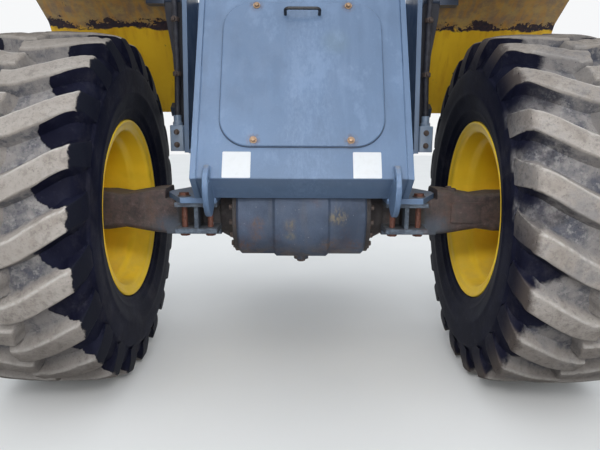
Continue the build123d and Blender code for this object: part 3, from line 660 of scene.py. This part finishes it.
def along(line, u):
    """Point of a half profile at step u, smooth through its points and mirrored for negative steps."""
    sign = -1 if u < 0 else 1
    u = min(abs(u), len(line) - 1)
    i = min(int(u), len(line) - 2)
    t = u - i
    before = (-line[1][0], line[1][1]) if i == 0 else line[i - 1]
    after = line[min(i + 2, len(line) - 1)]
    point = []
    for p0, p1, p2, p3 in zip(before, line[i], line[i + 1], after):
        point.append(0.5 * (2 * p1 + (p2 - p0) * t + (2 * p0 - 5 * p1 + 4 * p2 - p3) * t * t
                            + (3 * p1 - p0 - 3 * p2 + p3) * t ** 3))
    return sign * point[0], point[1]


# The lug line's steps, and its length in metres up to each
STEPS = [-1 + 0.05 * k for k in range(261)]
LENGTHS = [0]
for low, high in zip(STEPS, STEPS[1:]):
    LENGTHS.append(LENGTHS[-1] + math.dist(along(LUG_LINE, low), along(LUG_LINE, high)))


def between(value, known, wanted):
    """Looks a value up between two matching lists, going straight between their entries."""
    i = min(max(bisect.bisect_right(known, value) - 1, 0), len(known) - 2)
    t = (value - known[i]) / (known[i + 1] - known[i])
    return wanted[i] + (wanted[i + 1] - wanted[i]) * min(max(t, 0), 1)


def ease(value, low, high):
    """Smooth step from 0 at low to 1 at high."""
    t = min(1, max(0, (value - low) / (high - low)))
    return t * t * (3 - 2 * t)


def sweep_back(u):
    """How far round the tread, in metres, a lug's middle line lies from its shoulder at step u."""
    if u > SHOULDER_STEP:
        return -LUG_LEAN * (u - SHOULDER_STEP) / (LAST_STEP - 0.5 - SHOULDER_STEP)
    x = along(LUG_LINE, u)[0]
    known, wanted = zip(*LUG_SWEEP)
    return sum(between(x + shift, known, wanted) for shift in (-SWEEP_BLUR, 0, SWEEP_BLUR)) / 3


def tyre_point(side, x, r, angle):
    """World place on a wheel: x towards the machine's middle, angle up from the front horizontal."""
    return at(side * (WHEEL_X - x), -r * math.cos(angle), r * math.sin(angle))


def lug_stations():
    """Steps along a lug with the height and the metres past its tip that each station has."""
    before, after = BEND_STEPS
    tip = between(TIP_X, [along(LUG_LINE, u)[0] for u in STEPS], STEPS)
    first = tip + 0.16
    flat = [first + (SHOULDER_STEP - before - first) * k / 16 for k in range(17)]
    bend = [SHOULDER_STEP - before + (before + after) * k / 9 for k in range(1, 10)]
    foot = [SHOULDER_STEP + after + (LAST_STEP - SHOULDER_STEP - after) * k / 10 for k in range(1, 11)]
    return [(tip, h, past) for h, past in TIP_SLOPE] + [(u, 1, 0) for u in flat + bend + foot]


def add_lug(pile, side, row, turn, dressing, seed):
    """One lug from its tip near the middle of the tread to its foot on the sidewall."""
    top_edge, below_edge, above_edge = dressing
    verts, tops, wear_and_highlights, inward, edges = [], [], [], [], []
    for u, rise, past in lug_stations():
        m0, c0 = between(u, STEPS, LENGTHS), sweep_back(u)
        dm = between(u + 0.1, STEPS, LENGTHS) - between(u - 0.1, STEPS, LENGTHS)
        dc = sweep_back(u + 0.1) - sweep_back(u - 0.1)
        norm = math.hypot(dm, dc)
        dm, dc = dm / norm, dc / norm
        wide = LUG_HALF_WIDTH * (1 + LUG_FOOT_WIDER * ease(u, SHOULDER_STEP, LAST_STEP))
        tall = math.dist(along(LUG_LINE, u), along(FLOOR_LINE, u)) / LUG_HEIGHT
        for v, out, h, top, worn in LUG_SECTION:
            offset = v * (wide + out * min(1, max(0.25, tall)))
            m = m0 - dc * offset - dm * (past - 0.005 * v * (u < 0.5))
            c = c0 + dm * offset - dc * past
            step_u = min(between(m, LENGTHS, STEPS), LAST_STEP)
            height = min(h, rise)
            top_x, top_r = along(LUG_LINE, step_u)
            low_x, low_r = along(FLOOR_LINE, step_u)
            x, r = low_x + height * (top_x - low_x), low_r + height * (top_r - low_r)
            angle = turn - c / (LUG_LINE[0][1] if u < SHOULDER_STEP else r)
            world = tyre_point(side, row * x, r, angle)
            rough = noise.noise(world * 20 + Vector((seed, 0, 0)))
            nick = max(0, noise.noise(world * 55 + Vector((0, seed, 0))) - 0.3)
            wear = UNEVEN * rough - (NICK_DEPTH * nick if worn else 0)
            r += wear * ease(height, 0.3, 0.9) * (1 - ease(step_u, 6.5, 8))
            verts.append(tyre_point(side, row * x, r, angle + 0.0035 * rough * ease(height, 0.2, 0.8)))
            tops.append(top if rise >= 0.9 else min(top, 0.45))
            wear_and_highlights.append(worn * ease(rise, 0.8, 0.96))
            inward.append(x)
            flank = below_edge if v > 0 else above_edge
            edges.append(flank + (top_edge - flank) * ease(height, 0.75 if v > 0 else 0.1, 0.94))
    faces = grid_faces(len(verts) // len(LUG_SECTION), len(LUG_SECTION))
    pile.add(verts, outward_if(side * row < 0, faces), lug_top=tops, worn=wear_and_highlights, inward=inward, edge=edges)


def add_casing(pile, side, shoulder, dressing):
    """Casing between and under the lugs, from one bead round the tread to the other."""
    _, below_edge, above_edge = dressing
    steps = [k / 4 for k in range(LAST_STEP * 4 + 1)]
    half = [(*along(FLOOR_LINE, u), sweep_back(u)) for u in steps] + [(x, r, -LUG_LEAN) for x, r in WALL_LINE]
    line = [(-x, r, c) for x, r, c in reversed(half[1:])] + half
    verts, inward, edges = [], [], []
    for k in range(RINGS):
        angle = 2 * math.pi * k / RINGS
        for x, r, c in line:
            lift = 0.0012 * noise.noise(Vector((x * 30, math.cos(angle) * 14, math.sin(angle) * 14)))
            verts.append(tyre_point(side, x, r + lift * (r > 0.56), angle))
            inward.append(abs(x) if r > 0.54 else WALL_INWARD)
            turn = shoulder + (0.5 * LUG_PITCH if x < 0 else 0)
            across = ((turn - c / LUG_LINE[0][1] - angle) / LUG_PITCH) % 1
            edges.append(below_edge + (above_edge - below_edge) * ease(across, 0.25, 0.8))
    faces = outward_if(side > 0, grid_faces(RINGS, len(line), wrap_rows=True))
    count = len(verts)
    pile.add(verts, faces, lug_top=[GROOVE_TOP] * count, worn=[0] * count, inward=inward, edge=edges)


def add_tyres(finishes):
    """Both tyres, each with two rows of lugs whose tips interlock along the middle."""
    for name, side in SIDES:
        shoulder_deg, *dressing = TREAD[name]
        shoulder = math.radians(shoulder_deg)
        pile = Pile()
        add_casing(pile, side, shoulder, dressing)
        for k in range(LUG_COUNT):
            for row, offset in ((1, 0), (-1, 0.5)):
                add_lug(pile, side, row, shoulder + (k + offset) * LUG_PITCH, dressing, 7 * k + 3 * row)
        tyre = pile.piece("tyre_tread_" + name, finishes[name], "tyre", "wheel_" + name, 42)
        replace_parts(tyre, "tyre_" + name)


# Rims

# Half of the rim's skin, from its middle plane out and back in on the tyre's side: offset, radius
RIM_LINE = (
    (0, 0.286), (0.124, 0.286), (0.132, 0.2868), (0.138, 0.29), (0.145, 0.2978), (0.152, 0.304),
    (0.16, 0.3066), (0.204, 0.3112), (0.2125, 0.3138), (0.2172, 0.3185), (0.2196, 0.3245), (0.2204, 0.332),
    (0.2222, 0.3385), (0.2254, 0.3428), (0.2279, 0.3468), (0.2284, 0.3505), (0.227, 0.3545),
    (0.2235, 0.3562), (0.218, 0.356), (0.216, 0.354), (0.216, 0.3225), (0.214, 0.3218), (0.158, 0.316),
    (0.133, 0.296), (0, 0.296))
RIM_SIDES = 144
DISC_NEAR, DISC_FAR = 0.017, 0.037  # the disc's faces, out from the wheel's middle plane
DISC_R, DISC_STEP_R, DISC_BORE = 0.288, 0.24, 0.1583
BEAD_R, BEAD_THICK, BEAD_PITCH = 0.285, 0.0052, 0.0124


def add_rims(paint):
    """Both rims, each with rolled flanges, a stepped barrel, and a disc between two weld beads."""
    loop = [(r, x) for x, r in RIM_LINE] + [(r, -x) for x, r in reversed(RIM_LINE[1:-1])]
    near, far, thin = DISC_NEAR, DISC_FAR, 0.001
    for name, s in SIDES:
        pile = Pile()
        where = facing(at(s * WHEEL_X, 0, 0), (s, 0, 0))
        verts, _ = lathe(loop, RIM_SIDES)
        pile.add(verts, grid_faces(len(loop), RIM_SIDES, wrap_rows=True, wrap_columns=True), where)
        pile.turned(where, RIM_SIDES, (DISC_R, near), (DISC_STEP_R, near), (DISC_STEP_R - 0.004, near + thin),
                    (DISC_BORE, near + thin), (DISC_BORE, far - thin), (DISC_STEP_R - 0.004, far - thin),
                    (DISC_STEP_R, far), (DISC_R, far))
        for z in (near - 0.002, far + 0.002):
            path = [where @ Vector((x, y, z)) for x, y in ring(360, BEAD_R)]
            pile.add(*tube(path + path[:1], BEAD_THICK, 8, ripple=0.1, pitch=BEAD_PITCH, caps=False))
        rim = pile.piece("rim_" + name + "_skin", paint, "wheel_paint", "wheel_" + name)
        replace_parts(rim, "rim_" + name)


# Frame details

COVER_WASHER = ((0.0135, 0), (0.0135, 0.0022), (0.0125, 0.003), (0, 0.003))
COVER_BOLT = ((0.0095, 0.003), (0.0095, 0.0085), (0.0078, 0.0108), (0.004, 0.0116), (0, 0.0118))
STICKER_XS, STICKER_UP = (-0.2335, 0.2325), -0.0674


def add_cover_details(brass, shadow_line):
    """The cover's four bolts, and a dark strip along its edge that is a painted shadow line."""
    bolts = Pile()
    for x in (-COVER_BOLT_X, COVER_BOLT_X):
        for up in COVER_BOLT_UPS:
            place = on_plate(x, up, COVER_T)
            bolts.turned(facing(place, PLATE_OUT), 28, *COVER_WASHER)
            bolts.turned(facing(place, PLATE_OUT, x * 9), 6, *COVER_BOLT)
    bolts.piece("cover_bolts", brass, "bolt_steel")
    # A dark strip round the cover's edge: a painted shadow line where the cover meets the plate
    outline = rounded_rectangle(COVER_W, COVER_H, COVER_CORNER, 16)
    loop = [on_plate(x, COVER_H / 2 + y, 0.001) for x, y in outline]
    strip = Pile()
    strip.add(*tube(loop + loop[:1], 0.0022, 8, caps=False))
    strip.piece("cover_shadow_line", shadow_line, "handle_black")


def add_stickers(white):
    """Two blank white stickers on the front plate."""
    pile = Pile()
    frame_turn = Matrix(((1, 0, 0), PLATE_UP, PLATE_OUT)).transposed().to_4x4()
    for x in STICKER_XS:
        where = Matrix.Translation(on_plate(x, STICKER_UP)) @ frame_turn
        pile.add(*slab(rounded_rectangle(0.101, 0.099, 0.004), 0.0007, 0.0003), where)
    pile.piece("stickers", white, "frame_paint")


# Front edge of a tie-down ear, from its top to its foot, Y and Z from the middle of the axle
EAR_EDGE = (
    (-0.275, 0.199), (-0.296, 0.201), (-0.315, 0.193), (-0.332, 0.176), (-0.343, 0.154), (-0.348, 0.13),
    (-0.347, 0.105), (-0.34, 0.08), (-0.328, 0.057), (-0.312, 0.037), (-0.293, 0.021), (-0.276, 0.013),
    (-0.258, 0.011), (-0.242, 0.016))
EAR_HOLE, EAR_HOLE_R = Vector((-0.318, 0.15)), 0.012
EAR_BEVEL, EAR_RAYS = 0.0025, 96


def ear_reach(way, outline):
    """How far an ear's outline lies from its hole in one direction."""
    reach = []
    for a, b in zip(outline, outline[1:] + outline[:1]):
        edge, off = b - a, a - EAR_HOLE
        turn = way.x * edge.y - way.y * edge.x
        if abs(turn) > 1e-9:
            t = (off.x * edge.y - off.y * edge.x) / turn
            u = (off.x * way.y - off.y * way.x) / turn
            if t > 0 and -1e-6 <= u <= 1 + 1e-6:
                reach.append(t)
    return max(reach)


def add_ears(paint):
    """The lashing ears: curved plates across the lip, bevelled all round."""
    outline = [Vector(p) for p in (*EAR_EDGE, (LIP[0], 0.04), *front_line(0.045))]
    rays = [(Vector(p), ear_reach(Vector(p), outline)) for p in ring(EAR_RAYS, 1)]
    half = EAR_T / 2
    for name, s in SIDES:
        pile = Pile()
        verts = []
        for inset, x in ((None, -half), (EAR_BEVEL, -half), (0, EAR_BEVEL - half), (0, half - EAR_BEVEL),
                         (EAR_BEVEL, half), (None, half)):
            for way, reach in rays:
                spot = EAR_HOLE + way * (EAR_HOLE_R if inset is None else reach - inset)
                verts.append(at(s * (EAR_X + x), spot.x, spot.y))
        faces = grid_faces(6, EAR_RAYS, wrap_rows=True, wrap_columns=True)
        pile.add(verts, outward_if(s < 0, faces))
        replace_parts(pile.piece("ear_" + name, paint, "frame_paint"), "tie_down_ear_" + name)


# A near-black sheet beside each tower: painted shade standing in for the shaded parts behind the hose. Its
# section from above: metres out, where 1 is its whole reach, and metres forward. Then the height and reach of
# its rows, and its back's Y at one height and lean for each metre up
SHADE_SHEET_FOLDS = ((0, 0), (0, 0.044), (0.003, 0.044), (0.003, 0.003), (1, 0.003), (1, 0))
SHADE_SHEET_ROWS = (
    (0.225, 0.058), (0.352, 0.056), (0.38, 0.04), (0.45, 0.03), (0.54, 0.036), (0.575, 0.052), (0.64, 0.056),
    (0.72, 0.07), (0.8, 0.084), (0.86, 0.088), (1.03, 0.09))
SHADE_SHEET_BACK, SHADE_SHEET_BACK_Z, SHADE_SHEET_LEAN = 0.282, 0.6, 0.08
BLOCK_OUT, BLOCK_TALL = 0.032, 0.112
BLOCK_NECK = ((0.021, 0), (0.021, 0.012), (0.017, 0.016), (0.017, 0.04), (0.0155, 0.043), (0.012, 0.043))
# Hose clips: height, metres out from the tower, Y
CLIPS, CLIP_R = ((0.552, 0.027, 0.2262), (0.78, 0.033, 0.25)), 0.0155


def add_tower_dressing(dark, block, steel):
    """Beside each tower: a near-black sheet behind the hose that is painted shade of the parts shaded there, clips
    round the hose, and the block at its foot.
    """
    shade_sheets, blocks, clips = Pile(), Pile(), Pile()
    folds, last = len(SHADE_SHEET_FOLDS), (len(SHADE_SHEET_ROWS) - 1) * len(SHADE_SHEET_FOLDS)
    for _, s in SIDES:
        verts = []
        for z, reach in SHADE_SHEET_ROWS:
            back = SHADE_SHEET_BACK + SHADE_SHEET_LEAN * (z - SHADE_SHEET_BACK_Z)
            for out, depth in SHADE_SHEET_FOLDS:
                verts.append(at(s * (TOWER_FACE + (reach if out == 1 else out)), back - depth, z))
        faces = grid_faces(len(SHADE_SHEET_ROWS), folds, wrap_columns=True)
        faces += [tuple(reversed(range(folds))), tuple(range(last, last + folds))]
        shade_sheets.add(verts, outward_if(s > 0, faces))
        low = at(s * (TOWER_FACE + BLOCK_OUT), 0.224, 0.222)
        outline = rounded_rectangle(0.06, 0.056, 0.006, 3)
        blocks.add(*slab(outline, BLOCK_TALL, 0.003), Matrix.Translation(low))
        blocks.turned(Matrix.Translation(low + Vector((0, 0, BLOCK_TALL))), 20, *BLOCK_NECK)
        for z, out, y in CLIPS:
            for dz in (-0.006, 0, 0.006):
                path = [at(s * (TOWER_FACE + out) + dx, y + dy, z + dz) for dx, dy in ring(24, CLIP_R)]
                clips.add(*tube(path + path[:1], 0.0035, 6, caps=False))
            add_bolt(clips, at(s * (TOWER_FACE + out + 0.002), y - 0.016, z), (s * 0.3, -1, 0), 0.017, 0.009)
        for z in (0.25, 0.305):
            add_bolt(clips, at(s * (TOWER_FACE + BLOCK_OUT), 0.196, z), (0, -1, 0), 0.016, 0.009)
    shade_sheets.piece("hose_shade_sheets", dark, "frame_paint")
    blocks.piece("hose_blocks", block, "frame_paint")
    clips.piece("hose_clips", steel, "bolt_steel")


WELD_R, WELD_RIPPLE, WELD_STEP = 0.0034, 0.14, 0.0022


def weld_runs():
    """Corners of the weld beads on the left side, from the middle of the axle."""
    ear_faces = (EAR_X - EAR_T / 2, EAR_X + EAR_T / 2)
    lug_x, gusset_x = FRAME_HALF + 0.012, FRAME_HALF + 0.095
    runs = [[(SIDE_IN, *p) for p in front_line(0.4)]]
    runs += [[(x, *p) for p in front_line(0.04)] for x in ear_faces]
    runs += [[(SIDE_IN, 0.802, z), (SIDE_IN, 0.968, z)] for z in (-0.1, -0.06, 0.46, 0.5)]
    runs += [[(SIDE_IN, y, 0.162), (SIDE_IN, y, 0.798)] for y in (0.56, 0.576)]
    runs += [[(lug_x, 0.836, z), (lug_x, 0.964, z)] for z in (0.03, 0.05, 0.1, 0.12)]
    return runs + [[(FRAME_HALF, 0.198, 0.216), (FRAME_HALF, 0.44, 0.216), (FRAME_HALF, 0.52, 0.9)],
                   [(gusset_x, 0.198, 0.216), (gusset_x, 0.44, 0.216)],
                   [(FRAME_HALF, -0.19, 0.071), (FRAME_HALF, 0.2, 0.071)]]


def add_welds(paint):
    """Weld beads where the frame's plates meet."""
    pile = Pile()
    for _, s in SIDES:
        for run in weld_runs():
            path = stepped([at(s * x, y, z) for x, y, z in run], WELD_STEP)
            pile.add(*tube(path, WELD_R, 8, ripple=WELD_RIPPLE))
    pile.piece("weld_beads", paint, "frame_paint", sharp=180)


FLANGE_X, FLANGE_BOLTS, FLANGE_RING_R = 0.264, 16, 0.15
SEAT_BOLT_YS, SEAT_BOLT_XS, SEAT_TOP = (-0.152, 0.152), (0.349, 0.447), 0.071
SEAT_WASHER = ((0.0245, 0), (0.0245, 0.0035), (0.023, 0.0045), (0.012, 0.0045))


def add_axle_details(steel, casting):
    """Flange bolts and drain plug of the differential, seat washers, and the left arm's pad and fitting."""
    bolts = Pile()
    for _, s in SIDES:
        for k, (y, z) in enumerate(ring(FLANGE_BOLTS, FLANGE_RING_R, 0.5)):
            add_bolt(bolts, at(s * FLANGE_X, y, z), (s, 0, 0), 0.019, 0.011, spin=k * 0.7)
        for y in SEAT_BOLT_YS:
            for x in SEAT_BOLT_XS:
                bolts.turned(facing(at(s * x, y, SEAT_TOP), (0, 0, 1)), 32, *SEAT_WASHER)
    add_bolt(bolts, at(0, 0, -0.207), (0, 0, -1), 0.03, 0.01)
    bolts.piece("axle_bolts", steel, "bolt_steel")
    pads = Pile()
    where = facing(at(0.65, -0.08, 0), (0, -1, 0))
    pads.add(*slab(rounded_rectangle(0.12, 0.084, 0.008, 4), 0.007, 0.002), where)
    where = facing(at(0.588, -0.04, 0.081), (0, 0, 1))
    pads.add(*slab(rounded_rectangle(0.056, 0.04, 0.01, 4), 0.012, 0.003), where)
    pads.turned(where, 16, (0.012, 0.012), (0.012, 0.018), (0.008, 0.02), (0, 0.02))
    pads.piece("arm_pads", casting, "axle_paint")


NUT_X, NUTS, NUT_RING_R = 0.955, 16, 0.184
HUB_FACE_X, HUB_BOLTS, HUB_RING_R = 1.085, 12, 0.094
STEM = ((0.96, 0.268), (0.985, 0.262), (1.01, 0.25))


def add_wheel_details(steel, paint):
    """Wheel nuts on the disc, cover bolts and plugs on the hub, and the valve stem."""
    for name, s in SIDES:
        pile = Pile()
        for k, (y, z) in enumerate(ring(NUTS, NUT_RING_R)):
            add_bolt(pile, at(s * NUT_X, y, z), (s, 0, 0), 0.03, 0.018, spin=k * 1.3, stud=0.012)
        pile.piece("wheel_nuts_" + name, steel, "bolt_steel", "wheel_" + name)
        cover = Pile()
        for k, (y, z) in enumerate(ring(HUB_BOLTS, HUB_RING_R, 0.5)):
            add_bolt(cover, at(s * HUB_FACE_X, y, z), (s, 0, 0), 0.017, 0.009, spin=k * 0.9)
        for y, z in ((0, 0), (0.052, -0.03)):
            add_bolt(cover, at(s * HUB_FACE_X, y, z), (s, 0, 0), 0.026, 0.01)
        cover.add(*tube(stepped([at(s * x, 0, z) for x, z in STEM], 0.006), 0.006, 12))
        cover.piece("hub_bolts_" + name, paint, "wheel_paint", "wheel_" + name)


NIPPLE = ((0.006, 0), (0.006, 0.006), (0.0035, 0.009), (0.0045, 0.014), (0, 0.016))


def add_grease_nipples(steel):
    """Grease nipples at the boom's and the lift cylinder's pins."""
    pile = Pile()
    for _, s in SIDES:
        for y, z in ((0.37, 1.112), (0.33, 0.392)):
            pile.turned(facing(at(s * (TOWER_FACE + 0.006), y, z), (s * 0.3, 0, 1)), 12, *NIPPLE)
    pile.piece("small_fasteners", steel, "bolt_steel")


# Stage, lamps and camera

CAMERA_PLACE = Vector((-0.0105, -2.2192, 0.3504))  # from the middle of the axle
CAMERA_YAW_DEG, CAMERA_TILT_DEG, CAMERA_ROLL_DEG = -0.135, 10.673, 0.287
FOCAL_PX, PICTURE_PX, SENSOR_MM = 547, 600, 36
# Place, what it points at, width in metres, watts and spread in degrees of each lamp
LAMPS = {"key": ((-1, -6, 5.5), (0, -1, 0.3), 5, 105, 180),
         "fill": ((0.5, -6.8, 1), (0, -1, 0.1), 4.5, 115, 180),
         "rim_left": ((-0.45, -3.6, 1.35), (0.76, -1.3, -0.28), 0.6, 1, 32),
         "rim_right": ((0.45, -3.6, 1.35), (-0.76, -1.3, -0.28), 0.6, 1, 32)}
FLOOR_HALF = 14


def turned_by(degrees, axis):
    return Matrix.Rotation(math.radians(degrees), 4, axis)


def add_camera():
    data = bpy.data.cameras.new("camera")
    data.sensor_width = SENSOR_MM
    data.lens = FOCAL_PX / PICTURE_PX * SENSOR_MM
    data.clip_end = 60
    camera = add_object("camera", data)
    turn = turned_by(CAMERA_YAW_DEG, "Z") @ turned_by(90 - CAMERA_TILT_DEG, "X")
    turn @= turned_by(CAMERA_ROLL_DEG, "Z")
    camera.matrix_world = Matrix.Translation(AXLE + CAMERA_PLACE) @ turn
    bpy.context.scene.camera = camera


def add_lamps():
    for name, (place, aim, size, power, spread_deg) in LAMPS.items():
        data = bpy.data.lights.new(name, "AREA")
        data.shape = "DISK"
        data.size = size
        data.energy = power
        data.spread = math.radians(spread_deg)
        lamp = add_object(name, data)
        lamp.location = place
        lamp.rotation_euler = (Vector(aim) - Vector(place)).to_track_quat("-Z", "Y").to_euler()


def add_world():
    """Soft studio dome, white behind the object for the camera and in reflections."""
    s = Shader("studio", bpy.data.worlds)
    bpy.context.scene.world = s.owner
    up = s.split(s.place.node.outputs["Generated"])[2]
    strength = s.step(up, -0.1, 1, 0.8, 1.12, "LINEAR")
    dome = s.fill(s.tree.nodes["Background"], {"Color": (0.92, 0.96, 1), "Strength": strength})
    backdrop = s.node("Background", {"Color": (0.93, 0.94, 0.95), "Strength": 1})
    mix = s.node("MixShader", {0: s.backdrop_ray(), 1: dome.outputs[0], 2: backdrop.outputs[0]})
    s.fill(s.tree.nodes["World Output"], {"Surface": mix.outputs[0]})


def add_floor():
    half = FLOOR_HALF
    mesh = bpy.data.meshes.new("studio_floor")
    mesh.from_pydata([(-half, -half, FLOOR_Z), (half, -half, FLOOR_Z), (half, half, FLOOR_Z),
                      (-half, half, FLOOR_Z)], [], [(0, 1, 2, 3)])
    mesh.materials.append(floor_material())
    floor = add_object("studio_floor", mesh)


def make_finishes():
    """The finishes by the record's material slot, and those of single nodes by the node's kind."""
    return {
        "frame_paint": painted("frame_paint", FRAME_BLUE, dust=0.5, rust=0.12),
        "axle_paint": cast_metal("axle_casting", (0.064, 0.09, 0.146), 0.25),
        "bolt_steel": plain_metal("rusty_bolts", (0.13, 0.05, 0.034), 0.65, 0.2, 0.7),
        "wheel_paint": painted("wheel_yellow", YELLOW, 0.2, rust=0.25, gloss=0.34, streak=0, grime=0.12),
        "fender_paint": fender_paint(),
        "handle_black": painted("handle_black", (0.012, 0.013, 0.018), dust=0.2, rust=0.05, gloss=0.3),
        "tyre": tyre_rubber("tyre_rubber_right", ragged=0.03, soft=0.002, bevel=(0.01, 0.011, 0.018),
                            rubbed_off=0, damp=(0.27, 0.245, 0.222)),
        "tyre_left": tyre_rubber("tyre_rubber_left", ragged=0.06, soft=0.014, bevel=(0.075, 0.062, 0.057),
                                 rubbed_off=0.8, damp=(0.13, 0.13, 0.142)),
        "hose_rubber": rubber_hose(),
        "front_plate": painted("plate_paint", FRAME_BLUE, dust=0.5, rust=0.12, plate=True),
        "axle_arm": cast_metal("arm_casting", (0.043, 0.034, 0.034), 0.45, arm=True),
        "hose_fittings": plain_metal("dark_fittings", (0.1, 0.105, 0.12), 0.5, 0.6),
        # The fender stays, darker than the frame's blue: painted shade
        "fender_stays": painted("shaded_stay_paint", (0.045, 0.065, 0.11), dust=0.3, rust=0.3),
    }


def dress_nodes(finishes):
    """Gives every carried-over node its kind's finish, or its slot's where its kind has none."""
    for row in frame["record"]["subparts"]:
        name = row["node"]
        kind = name.removesuffix("_left").removesuffix("_right").replace("inspection_cover", "front_plate")
        materials = NODES[name].data.materials
        materials.clear()
        materials.append(finishes[kind if kind in finishes else row["material_slot"]])


def main():
    finishes = make_finishes()
    dress_nodes(finishes)
    steel = plain_metal("old_steel", (0.3, 0.28, 0.26), 0.5, 0.7)
    dark_bolts = plain_metal("dark_bolts", (0.11, 0.085, 0.075), 0.6, 0.4, 0.6)
    brass = plain_metal("plated_bolts", (0.38, 0.26, 0.17), 0.45, 0.7, 0.45)
    # Paint of the strip round the cover: a painted shadow line
    shadow_line = painted("shadow_line_paint", (0.04, 0.062, 0.105), dust=0.2, rust=0.05)
    # Near-black paint of the sheets beside the towers: painted shade
    shade_sheet_paint = painted("shade_sheet_dark", (0.012, 0.014, 0.026), dust=0.2, rust=0.2, gloss=0.6)
    block = painted("block_paint", (0.2, 0.27, 0.38), dust=0.6, rust=0.3)
    add_tyres({"right": finishes["tyre"], "left": finishes["tyre_left"]})
    add_rims(finishes["wheel_paint"])
    add_cover_details(brass, shadow_line)
    add_stickers(sticker_white())
    add_ears(finishes["frame_paint"])
    add_tower_dressing(shade_sheet_paint, block, dark_bolts)
    add_welds(finishes["frame_paint"])
    add_axle_details(dark_bolts, finishes["axle_arm"])
    add_wheel_details(steel, finishes["wheel_paint"])
    add_grease_nipples(steel)
    add_floor()
    add_world()
    add_lamps()
    add_camera()
    bpy.context.scene.view_settings.view_transform = "Standard"


main()
